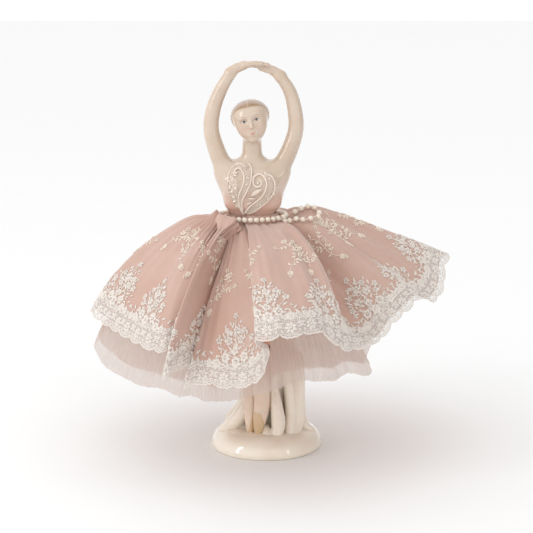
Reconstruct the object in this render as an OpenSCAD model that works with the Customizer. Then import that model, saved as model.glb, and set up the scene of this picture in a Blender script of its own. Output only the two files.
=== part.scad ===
// Porcelain ballerina figurine with a gathered fabric skirt.
// Origin at the centre of the foot ring, +Z up, the dancer faces -Y.
// The porcelain stands on the base; the cloth layers hang from the waist.

/* [Base] */
// outside radius of the domed base
base_r = 30.4; // [26:0.2:36]
// height of the flat seat that carries the drape
base_h = 12; // [8:0.5:15]
// radius of the flat seat
seat_r = 24; // [18:0.5:26]
// radius of the casting hole under the base
vent_r = 3; // [2:0.5:5]

/* [Porcelain] */
// wall of the slip-cast shell
wall = 2.4; // [2:0.1:4]
// height where the drape meets the hips
hip_z = 98; // [90:1:104]
// height where the neck meets the head
neck_z = 167; // [164:0.5:170]
// thickness of the upper arm
arm_d = 9.2; // [7:0.1:11]

/* [Skirts] */
// height of the belt line where the cloth is gathered
waist_z = 127; // [122:0.5:132]
// half width of the gathered waist
waist_rx = 16; // [15:0.1:18]
// half depth of the gathered waist
waist_ry = 12.8; // [12:0.1:15]
// height of the frill above the belt line
heading_h = 3.2; // [2:0.2:5]
// thickness of the outer skirt and of its lining
cloth_t = 0.6; // [0.4:0.1:1.2]
// thickness of one petticoat layer
tulle_t = 0.6; // [0.4:0.1:1.2]
// width of the lace border along the hem
lace_w = 12; // [6:0.5:18]

/* [Trim] */
// diameter of one pearl
pearl_d = 3; // [2:0.1:4]
// distance from pearl to pearl along the thread
pearl_pitch = 3.1; // [3.1:0.1:6]
// diameter of the pearl thread
thread_d = 0.5; // [0.3:0.1:0.8]
// diameter of the scroll cords on the bodice
scroll_d = 1.1; // [0.8:0.1:2]
// diameter of a seed bead on the bodice
seed_d = 1.4; // [1:0.1:2]

/* [Hidden] */

body_x = -7.5;          // the body stands left of the base centre
gap = 0.3;              // clearance between cloth layers
porcelain = [0.90, 0.84, 0.78];
skin = [0.88, 0.80, 0.73];
pink = [0.84, 0.66, 0.61];
white = [0.95, 0.93, 0.90];
peach = [0.88, 0.62, 0.48];

// The outer skirt, one row for each rib from the back round the dancer's right:
// hem x, hem y, hem z, azimuth at the waist, roundness, puff above the belt.
skirt_ribs = [
    [-8, 92, 76, -180, 0.4, 6], [-30, 80, 70, -166, 0.25, 5],
    [-52, 80, 77, -152, 0.45, 7], [-64, 60, 70, -138, 0.25, 5],
    [-84, 48, 76, -124, 0.45, 7], [-86, 28, 71, -110, 0.4, 7],
    [-96, 8, 74, -96, 0.5, 9], [-90, -9, 72, -86, 0.5, 8],
    [-80, -28, 71, -78, 0.45, 6], [-67, -51, 70, -69, 0.45, 5],
    [-56, -65, 69, -60, 0.5, 5], [-50, -65, 71, -55, 0.4, 4],
    [-48, -58, 72, -50, 0.2, 2], [-52, -79, 59, -42, 0.55, 5],
    [-46, -71, 61, -37, 0.35, 4], [-39, -58, 60, -34, 0.1, 1],
    [-42, -66, 51, -31, 0.15, 0], [-34, -68, 53, -28, 0.25, 0],
    [-20, -75, 53, -24, 0.35, 0], [-7, -84, 57, -20, 0.45, 2],
    [-1, -89, 65, -17, 0.45, 3], [1, -88, 75, -15, 0.4, 3],
    [-5, -97, 82, -13, 0.55, 4], [4, -101, 85, -3, 0.6, 3],
    [16, -99, 86, 14, 0.6, 3], [26, -92, 86, 32, 0.6, 4],
    [33, -89, 80, 46, 0.55, 6], [39, -84, 75, 56, 0.5, 6],
    [46, -74, 73, 63, 0.2, 4], [52, -68, 73, 68, 0.05, 3],
    [60, -58, 75, 73, 0, 3], [66, -48, 80, 78, 0, 4],
    [74, -36, 84, 83, 0.15, 7], [82, -24, 88, 89, 0.2, 9],
    [90, -14, 84, 95, 0.2, 10], [96, -2, 89, 101, 0.15, 11],
    [98, 10, 98, 107, 0.1, 12], [101, 22, 102, 113, 0.1, 13],
    [93, 34, 97, 122, 0.2, 11], [80, 46, 91, 132, 0.2, 8],
    [75, 62, 93, 142, 0.3, 10], [57, 68, 85, 151, 0.2, 7],
    [43, 84, 87, 161, 0.4, 8], [18, 82, 78, 171, 0.25, 5]];

// The petticoat, in the same form, shorter and rounder than the skirt.
tulle_ribs = [
    [-8, 76, 60, -180, 0.4, 3], [-36, 70, 59, -156, 0.4, 3],
    [-62, 56, 58, -134, 0.4, 3], [-84, 32, 57, -112, 0.45, 4],
    [-93, 10, 57, -96, 0.5, 5], [-92, -9, 55, -84, 0.5, 4],
    [-78, -29, 50, -72, 0.45, 3], [-61, -43, 48, -62, 0.4, 2],
    [-47, -49, 46, -52, 0.3, 1], [-36, -54, 45, -40, 0.15, 0],
    [-26, -60, 45, -30, 0.2, 0], [-10, -68, 49, -14, 0.3, 0],
    [6, -69, 52, 4, 0.35, 0], [22, -62, 54, 22, 0.35, 0],
    [33, -54, 51, 38, 0.3, 0], [42, -44, 52, 50, 0.2, 0],
    [56, -22, 47, 70, 0.1, 0], [54, -8, 51, 84, 0.2, 0],
    [58, 12, 55, 102, 0.3, 1], [52, 36, 57, 124, 0.3, 2],
    [38, 56, 60, 144, 0.3, 3], [16, 70, 62, 162, 0.4, 3]];

// Stations of the skirt from the belt line (0) to the hem (1).
skirt_steps = [-1, 0, 0.06, 0.14, 0.26, 0.42, 0.6, 0.8, 1];
tulle_steps = [-0.4, 0, 0.1, 0.3, 0.6, 1];

// The drape behind the legs: z, centre x, centre y, half width, half depth, fold.
drape_rows = [
    [base_h, -0.5, 2.5, 21, 14.5, 0.05], [14.5, 1.2, 3.5, 18.8, 12.6, 0.06],
    [19, 3, 4.2, 16.8, 12, 0.08], [26, 3.8, 4.4, 15.8, 11.8, 0.08],
    [34, 3.9, 4.4, 15.2, 11.8, 0.08], [50, 1.5, 4, 15, 11.8, 0.06],
    [66, -3, 3, 14.8, 11.8, 0.04], [82, -6.5, 2, 14.2, 11.6, 0.03],
    [hip_z, -8, 1, 13.5, 11.5, 0]];

// The body from the hips to the neck: z, centre x, centre y, half width, half depth.
torso_rows = [
    [hip_z, -8, 1, 13.5, 11.5], [108, -8, 1, 14, 11.6], [116, -8, 0.6, 13.2, 10.4],
    [122, -7.8, 0.3, 12.2, 9], [127.5, -7.5, 0, 11.6, 8.2], [131, -7.5, 0, 12.4, 8.6],
    [134, -7.4, -0.2, 15, 9.8], [139, -7.4, -0.6, 16.4, 10.7],
    [145, -7.5, -0.9, 17.8, 11.4], [150, -7.5, -0.8, 18.6, 10.8],
    [154, -7.6, 0, 17.6, 9], [157, -7.7, 0.6, 13.4, 7.4], [159.5, -7.7, 0.8, 8, 6.2],
    [162, -7.7, 0.7, 5.7, 5.4], [neck_z, -7.7, 0.4, 5.2, 5.2]];

// The head, in the same form, leaning a little to the dancer's right.
head_rows = [
    [neck_z, -7.7, 0.4, 5.2, 5.2], [168.6, -7.4, -0.8, 6.2, 7.2],
    [170.5, -7.2, -1.5, 7.4, 9.2], [174, -7.5, -1.2, 9, 10.6],
    [178, -8, -0.3, 10.1, 11.3], [182, -8.6, 0.3, 10.6, 11.6],
    [186, -9.2, 0.8, 10.2, 11.2], [189, -9.6, 1, 8.6, 9.6],
    [191.2, -9.9, 1, 5.6, 6.4], [192.2, -10, 1, 1.6, 2]];

// Arms and leg: x, y, z and radius along the centre line.
arm_left_rows = [
    [-20, 0.4, 149, 0.5], [-22.6, 0.2, 154, 0.5], [-26.6, 0, 164, 0.47],
    [-29.6, 0, 175, 0.42], [-28.6, -0.6, 186, 0.41], [-24.2, -1.2, 197, 0.37],
    [-17, -2, 205.4, 0.31], [-10.5, -2.6, 208.4, 0.3], [-4, -2.8, 208.2, 0.22]];
arm_right_rows = [
    [4.6, 0.4, 149, 0.5], [7.4, 0.2, 154, 0.5], [12.2, 0, 164, 0.47],
    [15.6, 0, 175, 0.42], [14.6, 0.4, 186, 0.41], [11.2, 1, 196, 0.37],
    [5.6, 2, 203.6, 0.31], [-0.5, 2.9, 206.9, 0.3], [-7, 3.4, 207.4, 0.22]];
leg_front_rows = [
    [-8, -5, 95, 7], [-8, -8.5, 84, 7.4], [-7.4, -11, 70, 6.6], [-6.8, -12, 60, 5.6],
    [-6, -12, 50, 5.6], [-5, -12.4, 40, 5], [-4.2, -13.2, 31, 4.2],
    [-4.2, -14, 25, 4.2], [-4.6, -15, 20, 3.9], [-4.8, -15.8, 15.5, 3],
    [-4.8, -16.4, base_h, 2.2], [-4.8, -16.8, base_h - 3, 1.4]];
leg_back_rows = [
    [-12, -4, 92, 6], [-12, -6.5, 80, 6.4], [-11.4, -8, 66, 5.8], [-10.6, -8.6, 56, 5.2],
    [-10, -8.6, 44, 4.6], [-9.2, -9.6, 32, 3.8], [-8.8, -10.8, 25, 3.8],
    [-8.8, -12.2, 19, 3.4], [-8.8, -13.2, 15, 2.8], [-8.8, -13.8, base_h, 2.2],
    [-8.8, -14.2, base_h - 3, 1.6]];
slipper_z = 23.5;       // height where the painted slippers end

// The pearl loop on the skirt: rib number and station, from the belt and back.
loop_route = [
    [27, 0.03], [31, 0.06], [32, 0.11], [32.2, 0.16], [33, 0.2],
    [34.6, 0.21], [35.8, 0.19], [36.1, 0.15], [35.8, 0.11], [35.3, 0.07]];

// Scroll cords on the bodice: azimuth and height on the chest.
scroll_left_path = [
    [-14, 149], [-19, 151], [-26, 149], [-24, 144], [-12, 144], [-4, 150],
    [-14, 156], [-32, 154], [-38, 147], [-26, 139], [-10, 134]];
scroll_right_path = [
    [18, 150], [24, 151], [28, 148], [24, 144], [14, 145], [10, 151],
    [20, 155], [34, 153], [36, 146], [22, 139], [4, 134]];

// ---------- curves and meshes ----------

function spline(a, b, c, d, f) =
    0.5 * (2 * b + (c - a) * f + (2 * a - 5 * b + 4 * c - d) * f * f
        + (3 * b - 3 * c + d - a) * f * f * f);

// a point on an open list of rows
function along(rows, s) =
    let (last = len(rows) - 1, i = min(floor(s), last - 1), f = s - i)
    spline(rows[max(i - 1, 0)], rows[i], rows[i + 1], rows[min(i + 2, last)], f);

function resample(rows, count) =
    [for (k = [0:count - 1]) along(rows, k * (len(rows) - 1) / (count - 1))];

// the row found at height z, where the first column is the height
function at_height(rows, z) =
    let (i = max([for (k = [0:len(rows) - 2]) rows[k][0] <= z ? k : 0]),
        f = (z - rows[i][0]) / (rows[i + 1][0] - rows[i][0]))
    rows[i] + (rows[i + 1] - rows[i]) * f;

function turn_near(a, ref) = a - 360 * round((a - ref) / 360);

function row_near(row, ref) =
    [row[0], row[1], row[2], turn_near(row[3], ref), row[4], row[5]];

// a rib of a skirt at any place round the waist
function rib(table, s) =
    let (n = len(table), i = floor(s), b = table[i % n])
    spline(row_near(table[(i + n - 1) % n], b[3]), b,
        row_near(table[(i + 1) % n], b[3]), row_near(table[(i + 2) % n], b[3]), s - i);

// a point of the cloth: the belt line is t = 0, the hem is t = 1
function cloth(table, s, t, inset) =
    let (r = rib(table, s), az = r[3], round_part = r[4],
        wx = body_x + (waist_rx - inset) * sin(az), wy = -(waist_ry - inset) * cos(az),
        out = (1 - round_part) * t + round_part * sin(90 * t),
        fall = (1 - round_part) * t + round_part * (1 - cos(90 * t)),
        puff = r[5] * (1 - t) * (1 - exp(-pow(t / 0.12, 2))))
    t < 0 ? [wx, wy, waist_z - heading_h * t]
        : [wx + (r[0] - wx) * out, wy + (r[1] - wy) * out,
            waist_z + (r[2] - waist_z) * fall + puff];

function unit(v) = v / max(norm(v), 0.0001);

// outward direction of the cloth
function cloth_out(table, s, t, inset) =
    let (n = len(table), e = 0.04, lo = t <= 0 ? t : t - e, hi = t >= 1 ? t : t + e,
        ds = cloth(table, s + 0.1, t, inset) - cloth(table, s + n - 0.1, t, inset),
        dt = cloth(table, s, max(hi, lo + e), inset) - cloth(table, s, lo, inset))
    t < 0 ? unit([sin(rib(table, s)[3]), -cos(rib(table, s)[3]), 0])
        : unit(cross(dt, ds));

function cloth_grid(table, ribs_between, steps, inset, lift) =
    [for (k = [0:len(table) * ribs_between - 1])
        let (s = k / ribs_between)
        [for (t = steps) cloth(table, s, t, inset) + lift * cloth_out(table, s, t, inset)]];

// one closed solid between an outer and an inner grid that run round the body
module shell(outer, inner) {
    n = len(outer);
    m = len(outer[0]);
    points = concat([for (row = outer) each row], [for (row = inner) each row]);
    outside = [for (i = [0:n - 1], j = [0:m - 2])
        let (a = i * m + j, b = ((i + 1) % n) * m + j)
        each [[a, a + 1, b + 1], [a, b + 1, b]]];
    inside = [for (f = outside) [f[0] + n * m, f[2] + n * m, f[1] + n * m]];
    rims = [for (i = [0:n - 1], j = [0, m - 1])
        let (a = i * m + j, b = ((i + 1) % n) * m + j, c = a + n * m, d = b + n * m)
        each (j == 0 ? [[a, b, d], [a, d, c]] : [[a, d, b], [a, c, d]])];
    polyhedron(points, concat(outside, inside, rims), convexity = 10);
}

// rings of points, stacked and closed at both ends
module loft(rings) {
    n = len(rings);
    m = len(rings[0]);
    sides = [for (i = [0:n - 2], j = [0:m - 1])
        let (a = i * m + j, b = i * m + (j + 1) % m)
        each [[a, b + m, b], [a, a + m, b + m]]];
    bottom = [for (j = [0:m - 1]) j];
    top = [for (j = [0:m - 1]) n * m - 1 - j];
    polyhedron([for (r = rings) each r], concat(sides, [bottom, top]), convexity = 6);
}

// an oval ring of a stack, smaller by inset, with folds where the row has them
function oval(row, sides, inset) =
    [for (k = [0:sides - 1])
        let (a = 360 * k / sides, fold = len(row) > 5 ? row[5] : 0,
            swell = 1 + fold * cos(5 * a + row[0]))
        [row[1] + (row[3] - inset) * swell * cos(a),
            row[2] + (row[4] - inset) * swell * sin(a), row[0]]];

function ovals(rows, sides, count, inset) =
    [for (r = resample(rows, count)) oval(r, sides, inset)];

function oval_wall(rows, sides, count, inset) =
    let (rings = ovals(rows, sides, count, inset))
    [for (k = [0:sides - 1]) [for (j = [0:count - 1]) rings[j][k]]];

// a round bar along rows of x, y, z and radius, with its rings square to the path
function bar_rings(rows, sides, count, side_axis, scale_r) =
    let (p = resample(rows, count))
    [for (i = [0:count - 1])
        let (a = p[max(i - 1, 0)], b = p[min(i + 1, count - 1)],
            dir = unit([b[0] - a[0], b[1] - a[1], b[2] - a[2]]),
            u = unit(side_axis - dir * (side_axis * dir)), v = cross(dir, u))
        [for (k = [0:sides - 1])
            [p[i][0], p[i][1], p[i][2]]
                + scale_r * p[i][3] * (u * cos(360 * k / sides) + v * sin(360 * k / sides))]];

// a thin cord through points, with its seam turned away from the body axis
function cord_rings(points, d, sides) =
    let (n = len(points))
    [for (i = [0:n - 1])
        let (dir = unit(points[min(i + 1, n - 1)] - points[max(i - 1, 0)]),
            axis = unit([points[i][0] - body_x, points[i][1], 6]),
            u = unit(axis - dir * (axis * dir)), v = cross(dir, u))
        [for (k = [0:sides - 1])
            points[i] + d / 2 * (u * cos(360 * k / sides) + v * sin(360 * k / sides))]];

// a point of the chest at an azimuth from the front, lifted off the porcelain
function chest(az, z, lift) =
    let (r = at_height(torso_rows, z))
    [r[1] + (r[3] + lift) * sin(az), r[2] - (r[4] + lift) * cos(az), z];

// pearls on their thread, each square to it and drilled for it
module pearls(points, skip) {
    for (i = [skip:len(points) - 1 - skip]) {
        dir = points[min(i + 1, len(points) - 1)] - points[max(i - 1, 0)];
        translate(points[i])
            rotate([0, acos(dir[2] / norm(dir)), atan2(dir[1], dir[0])])
                rotate_extrude($fn = 48)
                    difference() {
                        circle(d = pearl_d, $fn = 48);
                        translate([thread_d / 2 - pearl_d, -pearl_d])
                            square([pearl_d, 2 * pearl_d]);
                    }
    }
}

// ---------- porcelain ----------

// a domed shell with a flat floor; a casting hole opens it from below
module base() {
    color(porcelain)
        difference() {
            rotate_extrude($fn = 120)
                polygon([[0, 0], [base_r - 2, 0], [base_r - 0.9, 0.5], [base_r - 0.2, 1.6],
                    [base_r, 3], [base_r - 0.3, 4.8], [base_r - 1.2, 7],
                    [base_r - 2.8, 9.2], [base_r - 4.6, 10.9], [seat_r, base_h],
                    [0, base_h]]);
            translate([0, 0, wall])
                cylinder(h = base_h - 2 * wall, r = seat_r, $fn = 120);
            translate([0, 14, -1])
                cylinder(h = wall + 2, r = vent_r, $fn = 48);
            translate([4, 2, base_h - wall - 1])
                cylinder(h = wall + 2, r = vent_r, $fn = 48);
        }
}

module drape_column() {
    color(porcelain)
        shell(oval_wall(drape_rows, 32, 12, 0), oval_wall(drape_rows, 32, 12, wall));
}

module drape_solid() {
    loft(ovals(drape_rows, 32, 12, 0));
}

module limb(rows) {
    loft(bar_rings(rows, 16, 20, [1, 0, 0], 1));
}

module slab(low, high) {
    translate([-60, -60, low])
        cube([120, 120, high - low]);
}

// the front leg and its slipper stop where they meet the drape
module leg_front() {
    color(skin)
        resize([0, 0, 0])
            difference() {
                limb(leg_front_rows);
                drape_solid();
                slab(0, slipper_z);
            }
}

module slipper_front() {
    color([0.79, 0.66, 0.49])
        resize([0, 0, 0])
            difference() {
                limb(leg_front_rows);
                drape_solid();
                slab(0, base_h);
                slab(slipper_z, 120);
            }
}

// the back leg and its slipper are also trimmed by the front leg
module leg_back() {
    color(skin)
        resize([0, 0, 0])
            difference() {
                limb(leg_back_rows);
                limb(leg_front_rows);
                drape_solid();
                slab(0, slipper_z);
            }
}

module slipper_back() {
    color([0.84, 0.72, 0.60])
        resize([0, 0, 0])
            difference() {
                limb(leg_back_rows);
                limb(leg_front_rows);
                drape_solid();
                slab(0, base_h);
                slab(slipper_z, 120);
            }
}

module torso() {
    color(skin)
        shell(oval_wall(torso_rows, 32, 16, 0), oval_wall(torso_rows, 32, 16, wall));
}

module head() {
    top = len(head_rows) - 1;
    hollow = [for (k = [0:top - 2]) head_rows[k]];
    color(skin)
        resize([0, 0, 0])
            difference() {
                loft(ovals(head_rows, 32, 13, 0));
                loft(concat([oval(head_rows[0] - [1, 0, 0, 0, 0], 16, wall)],
                    ovals(hollow, 16, 8, wall)));
            }
}

// a low knot of hair at the back of the head
module hair_bun() {
    color([0.70, 0.58, 0.47])
        resize([0, 0, 0])
            difference() {
                translate([-8.8, 13, 179])
                    sphere(r = 5.6, $fn = 24);
                loft(ovals(head_rows, 32, 13, 0));
            }
}

module arm(rows) {
    color(skin)
        resize([0, 0, 0])
            difference() {
                loft(bar_rings(rows, 16, 20, [0, 1, 0], arm_d));
                loft(ovals(torso_rows, 32, 16, 0));
            }
}

module arm_left() {
    arm(arm_left_rows);
}

module arm_right() {
    arm(arm_right_rows);
}

// ---------- cloth ----------

module layer(table, ribs_between, steps, inset, lift, thick) {
    shell(cloth_grid(table, ribs_between, steps, inset, lift),
        cloth_grid(table, ribs_between, steps, inset, lift - thick));
}

module overskirt() {
    color(pink)
        layer(skirt_ribs, 3, skirt_steps, 0, 0, cloth_t);
}

module skirt_lining() {
    steps = [-0.4, 0, 0.06, 0.16, 0.34, 0.64, 0.985];
    color(peach)
        layer(skirt_ribs, 3, steps, 0, -cloth_t - gap, cloth_t - 0.1);
}

// the lace band lies on the outside of the hem
module lace_border() {
    color(white)
        layer(skirt_ribs, 3, [1 - lace_w / 96, 1.01], 0, 0.6, 0.5);
}

module petticoat_outer() {
    color(white)
        layer(tulle_ribs, 3, tulle_steps, 2 * (cloth_t + gap), 0, tulle_t);
}

module petticoat_inner() {
    color(white)
        layer(tulle_ribs, 3, [for (t = tulle_steps) min(t, 0.93)],
            2 * (cloth_t + gap), -tulle_t - 1.2 * gap, tulle_t);
}

// the tape that the layers are sewn to, round the porcelain waist
module waistband() {
    rows = [for (z = [waist_z - 3, waist_z - 1, waist_z + 0.6])
        let (r = at_height(torso_rows, z)) [z, r[1], r[2], r[3] + 0.9, r[4] + 0.9]];
    color(white)
        shell(oval_wall(rows, 32, 3, 0), oval_wall(rows, 32, 3, 0.6));
}

// ---------- trim ----------

// beaded lace on the chest, wide at the neckline and pointed at the belt
module bodice_applique() {
    heights = [132.6, 135, 138, 141.5, 145, 148.5, 152, 155];
    reach = [5, 14, 24, 33, 40, 44, 44, 34];
    grid_out = [for (j = [0:7]) [for (k = [-6:6]) chest(reach[j] * k / 6, heights[j], 1)]];
    grid_in = [for (j = [0:7]) [for (k = [-6:6]) chest(reach[j] * k / 6, heights[j], 0.2)]];
    rings = [for (j = [0:7]) concat(grid_out[j], [for (k = [12:-1:0]) grid_in[j][k]])];
    color(white)
        loft(rings);
}

module scroll(path) {
    points = [for (p = resample(path, 34)) chest(p[0], p[1], 1.1 + scroll_d / 2)];
    color(white)
        loft(cord_rings(points, scroll_d, 8));
}

module scroll_left() {
    scroll(scroll_left_path);
}

module scroll_right() {
    scroll(scroll_right_path);
}

module bodice_beads() {
    lift = 1.05 + seed_d / 2;
    color([0.96, 0.94, 0.90])
        for (p = [[0, 154], [0, 147], [0, 142], [0, 138], [-40, 151.5], [40, 151.5],
                [-30, 143.5], [31, 142.5], [-16, 139.5], [14, 139.8], [0, 134.2]])
            translate(chest(p[0], p[1], lift))
                sphere(d = seed_d, $fn = 24);
}

belt_count = floor(99.5 / pearl_pitch);

// the belt lies in the crease between the frill and the skirt
function belt_point(a) =
    let (reach = 0.4 + pearl_d / 2)
    [body_x + (waist_rx + reach) * sin(a), -(waist_ry + reach) * cos(a), waist_z + 1.7];

// the angle that spaces the pearls evenly round the oval waist
function belt_angle(a) =
    let (reach = 0.4 + pearl_d / 2)
    a - 28.6 * (waist_rx - waist_ry) / (waist_rx + waist_ry + 2 * reach) * sin(2 * a);

function loop_point(s) =
    let (p = along(loop_route, s))
    cloth(skirt_ribs, p[0], p[1], 0)
        + (0.3 + pearl_d / 2) * cloth_out(skirt_ribs, p[0], p[1], 0);

module waist_thread() {
    points = [for (k = [0:43]) belt_point(64 + 352 * k / 43)];
    color(white)
        loft(cord_rings(points, thread_d, 8));
}

module waist_pearls() {
    color([0.95, 0.92, 0.86])
        pearls([for (k = [0:belt_count - 1])
            belt_point(belt_angle(68 + 344 * k / (belt_count - 1)))], 0);
}

module loop_thread() {
    points = [for (k = [0:26]) loop_point(9 * k / 26)];
    color(white)
        loft(cord_rings(points, thread_d, 8));
}

module loop_pearls() {
    color([0.95, 0.92, 0.86])
        pearls([for (k = [0:10]) loop_point(0.4 + 8.2 * k / 10)], 0);
}

base();
drape_column();
leg_front();
leg_back();
slipper_front();
slipper_back();
torso();
head();
hair_bun();
arm_left();
arm_right();
petticoat_inner();
petticoat_outer();
skirt_lining();
overskirt();
lace_border();
waistband();
bodice_applique();
scroll_left();
scroll_right();
bodice_beads();
waist_thread();
waist_pearls();
loop_thread();
loop_pearls();
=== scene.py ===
"""Porcelain ballerina figurine: looks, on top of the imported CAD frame."""
import math

import bmesh
import bpy
import numpy as np
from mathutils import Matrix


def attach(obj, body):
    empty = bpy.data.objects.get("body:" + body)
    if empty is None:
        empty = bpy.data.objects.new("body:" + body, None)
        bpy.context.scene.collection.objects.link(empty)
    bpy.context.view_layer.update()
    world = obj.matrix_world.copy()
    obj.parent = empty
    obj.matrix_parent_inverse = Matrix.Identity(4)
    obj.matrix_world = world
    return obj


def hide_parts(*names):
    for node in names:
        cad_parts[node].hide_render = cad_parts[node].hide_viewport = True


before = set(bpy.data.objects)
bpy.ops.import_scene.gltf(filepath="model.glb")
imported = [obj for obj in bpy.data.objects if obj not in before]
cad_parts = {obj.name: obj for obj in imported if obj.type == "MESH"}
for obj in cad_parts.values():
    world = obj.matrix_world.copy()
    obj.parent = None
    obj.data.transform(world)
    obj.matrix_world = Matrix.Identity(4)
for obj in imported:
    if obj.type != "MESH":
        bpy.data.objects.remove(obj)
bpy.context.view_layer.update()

import openvdb
from mathutils import Vector
from mathutils.bvhtree import BVHTree

MM = 0.001
ROOT = "root"
CREASE = math.radians(55)       # edges sharper than this stay crisp


# ---------------------------------------------------------------- helpers

def spline_rows(rows, s):
    """Catmull-Rom through open rows, s in row units."""
    rows = np.asarray(rows, float)
    s = np.clip(np.asarray(s, float), 0, len(rows) - 1)
    i = np.minimum(np.floor(s).astype(int), len(rows) - 2)
    f = (s - i)[:, None]
    a, b = rows[np.maximum(i - 1, 0)], rows[i]
    c, d = rows[i + 1], rows[np.minimum(i + 2, len(rows) - 1)]
    return 0.5 * (2 * b + (c - a) * f + (2 * a - 5 * b + 4 * c - d) * f ** 2
                  + (3 * b - 3 * c + d - a) * f ** 3)


def resample(rows, count):
    """The same open rows as count evenly spaced ones."""
    return spline_rows(rows, np.linspace(0, len(rows) - 1, count))


def unit(v):
    """Vectors of length one."""
    return v / np.maximum(np.linalg.norm(v, axis=-1, keepdims=True), 1e-9)


def heading(angle):
    """The flat direction at an angle."""
    return np.array([math.cos(angle), math.sin(angle)])


def lattice(n, m, tube=False, loop=True):
    """Quads over n by m points; loop closes it round n and tube closes it round m."""
    i, j = np.meshgrid(np.arange(n if loop else n - 1), np.arange(m if tube else m - 1),
                       indexing="ij")
    right, down = (i + 1) % n * m, (j + 1) % m
    return np.stack([i * m + j, i * m + down, right + down, right + j], -1).reshape(-1, 4)


FLIP = [0, 3, 2, 1]       # turns a quad over and keeps its first corner


def grid_area(p):
    """Area of a grid of points that closes round its first direction."""
    a, b = p[:, :-1], p[:, 1:]
    c, d = np.roll(b, -1, 0), np.roll(a, -1, 0)
    return 0.5 * (np.linalg.norm(np.cross(b - a, c - a), axis=2)
                  + np.linalg.norm(np.cross(c - a, d - a), axis=2)).sum()


class Pile:
    """Collects vertices and faces of many small solids into one mesh."""

    def __init__(self):
        self.verts, self.quads, self.tris, self.count = [], [], [], 0

    def add(self, verts, quads=None, tris=None):
        self.verts.append(np.asarray(verts, float))
        if quads is not None and len(quads):
            self.quads.append(np.asarray(quads) + self.count)
        if tris is not None and len(tris):
            self.tris.append(np.asarray(tris) + self.count)
        self.count += len(verts)

    def arrays(self):
        quads = np.concatenate(self.quads) if self.quads else np.zeros((0, 4), int)
        tris = np.concatenate(self.tris) if self.tris else np.zeros((0, 3), int)
        return np.concatenate(self.verts), quads, tris


def make_object(name, verts, quads=None, tris=None, attributes=None):
    """A mesh object from arrays in millimetres."""
    quads = np.zeros((0, 4), int) if quads is None else np.asarray(quads)
    tris = np.zeros((0, 3), int) if tris is None else np.asarray(tris)
    mesh = bpy.data.meshes.new(name)
    mesh.vertices.add(len(verts))
    mesh.vertices.foreach_set("co", (np.asarray(verts) * MM).astype(np.float32).ravel())
    corners = np.concatenate([quads.ravel(), tris.ravel()]).astype(np.int32)
    starts = np.concatenate([np.arange(len(quads)) * 4,
                             len(quads) * 4 + np.arange(len(tris)) * 3]).astype(np.int32)
    mesh.loops.add(len(corners))
    mesh.loops.foreach_set("vertex_index", corners)
    mesh.polygons.add(len(starts))
    mesh.polygons.foreach_set("loop_start", starts)
    mesh.polygons.foreach_set("use_smooth", np.full(len(starts), True))
    mesh.update(calc_edges=True)
    mesh.validate()
    for key, values in (attributes or {}).items():
        layer = mesh.attributes.new(key, "FLOAT_VECTOR", "POINT")
        layer.data.foreach_set("vector", np.asarray(values, np.float32).ravel())
    obj = bpy.data.objects.new(name, mesh)
    bpy.context.scene.collection.objects.link(obj)
    return obj


def finish_piece(obj, material, slot, replaced=()):
    """Gives a piece its material, hangs it on the root body and hides the CAD parts it replaces.
    """
    obj.data.materials.clear()
    obj.data.materials.append(material)
    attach(obj, ROOT)
    if replaced:
        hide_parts(*replaced)
    return obj


# ---------------------------------------------------------------- node materials

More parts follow.
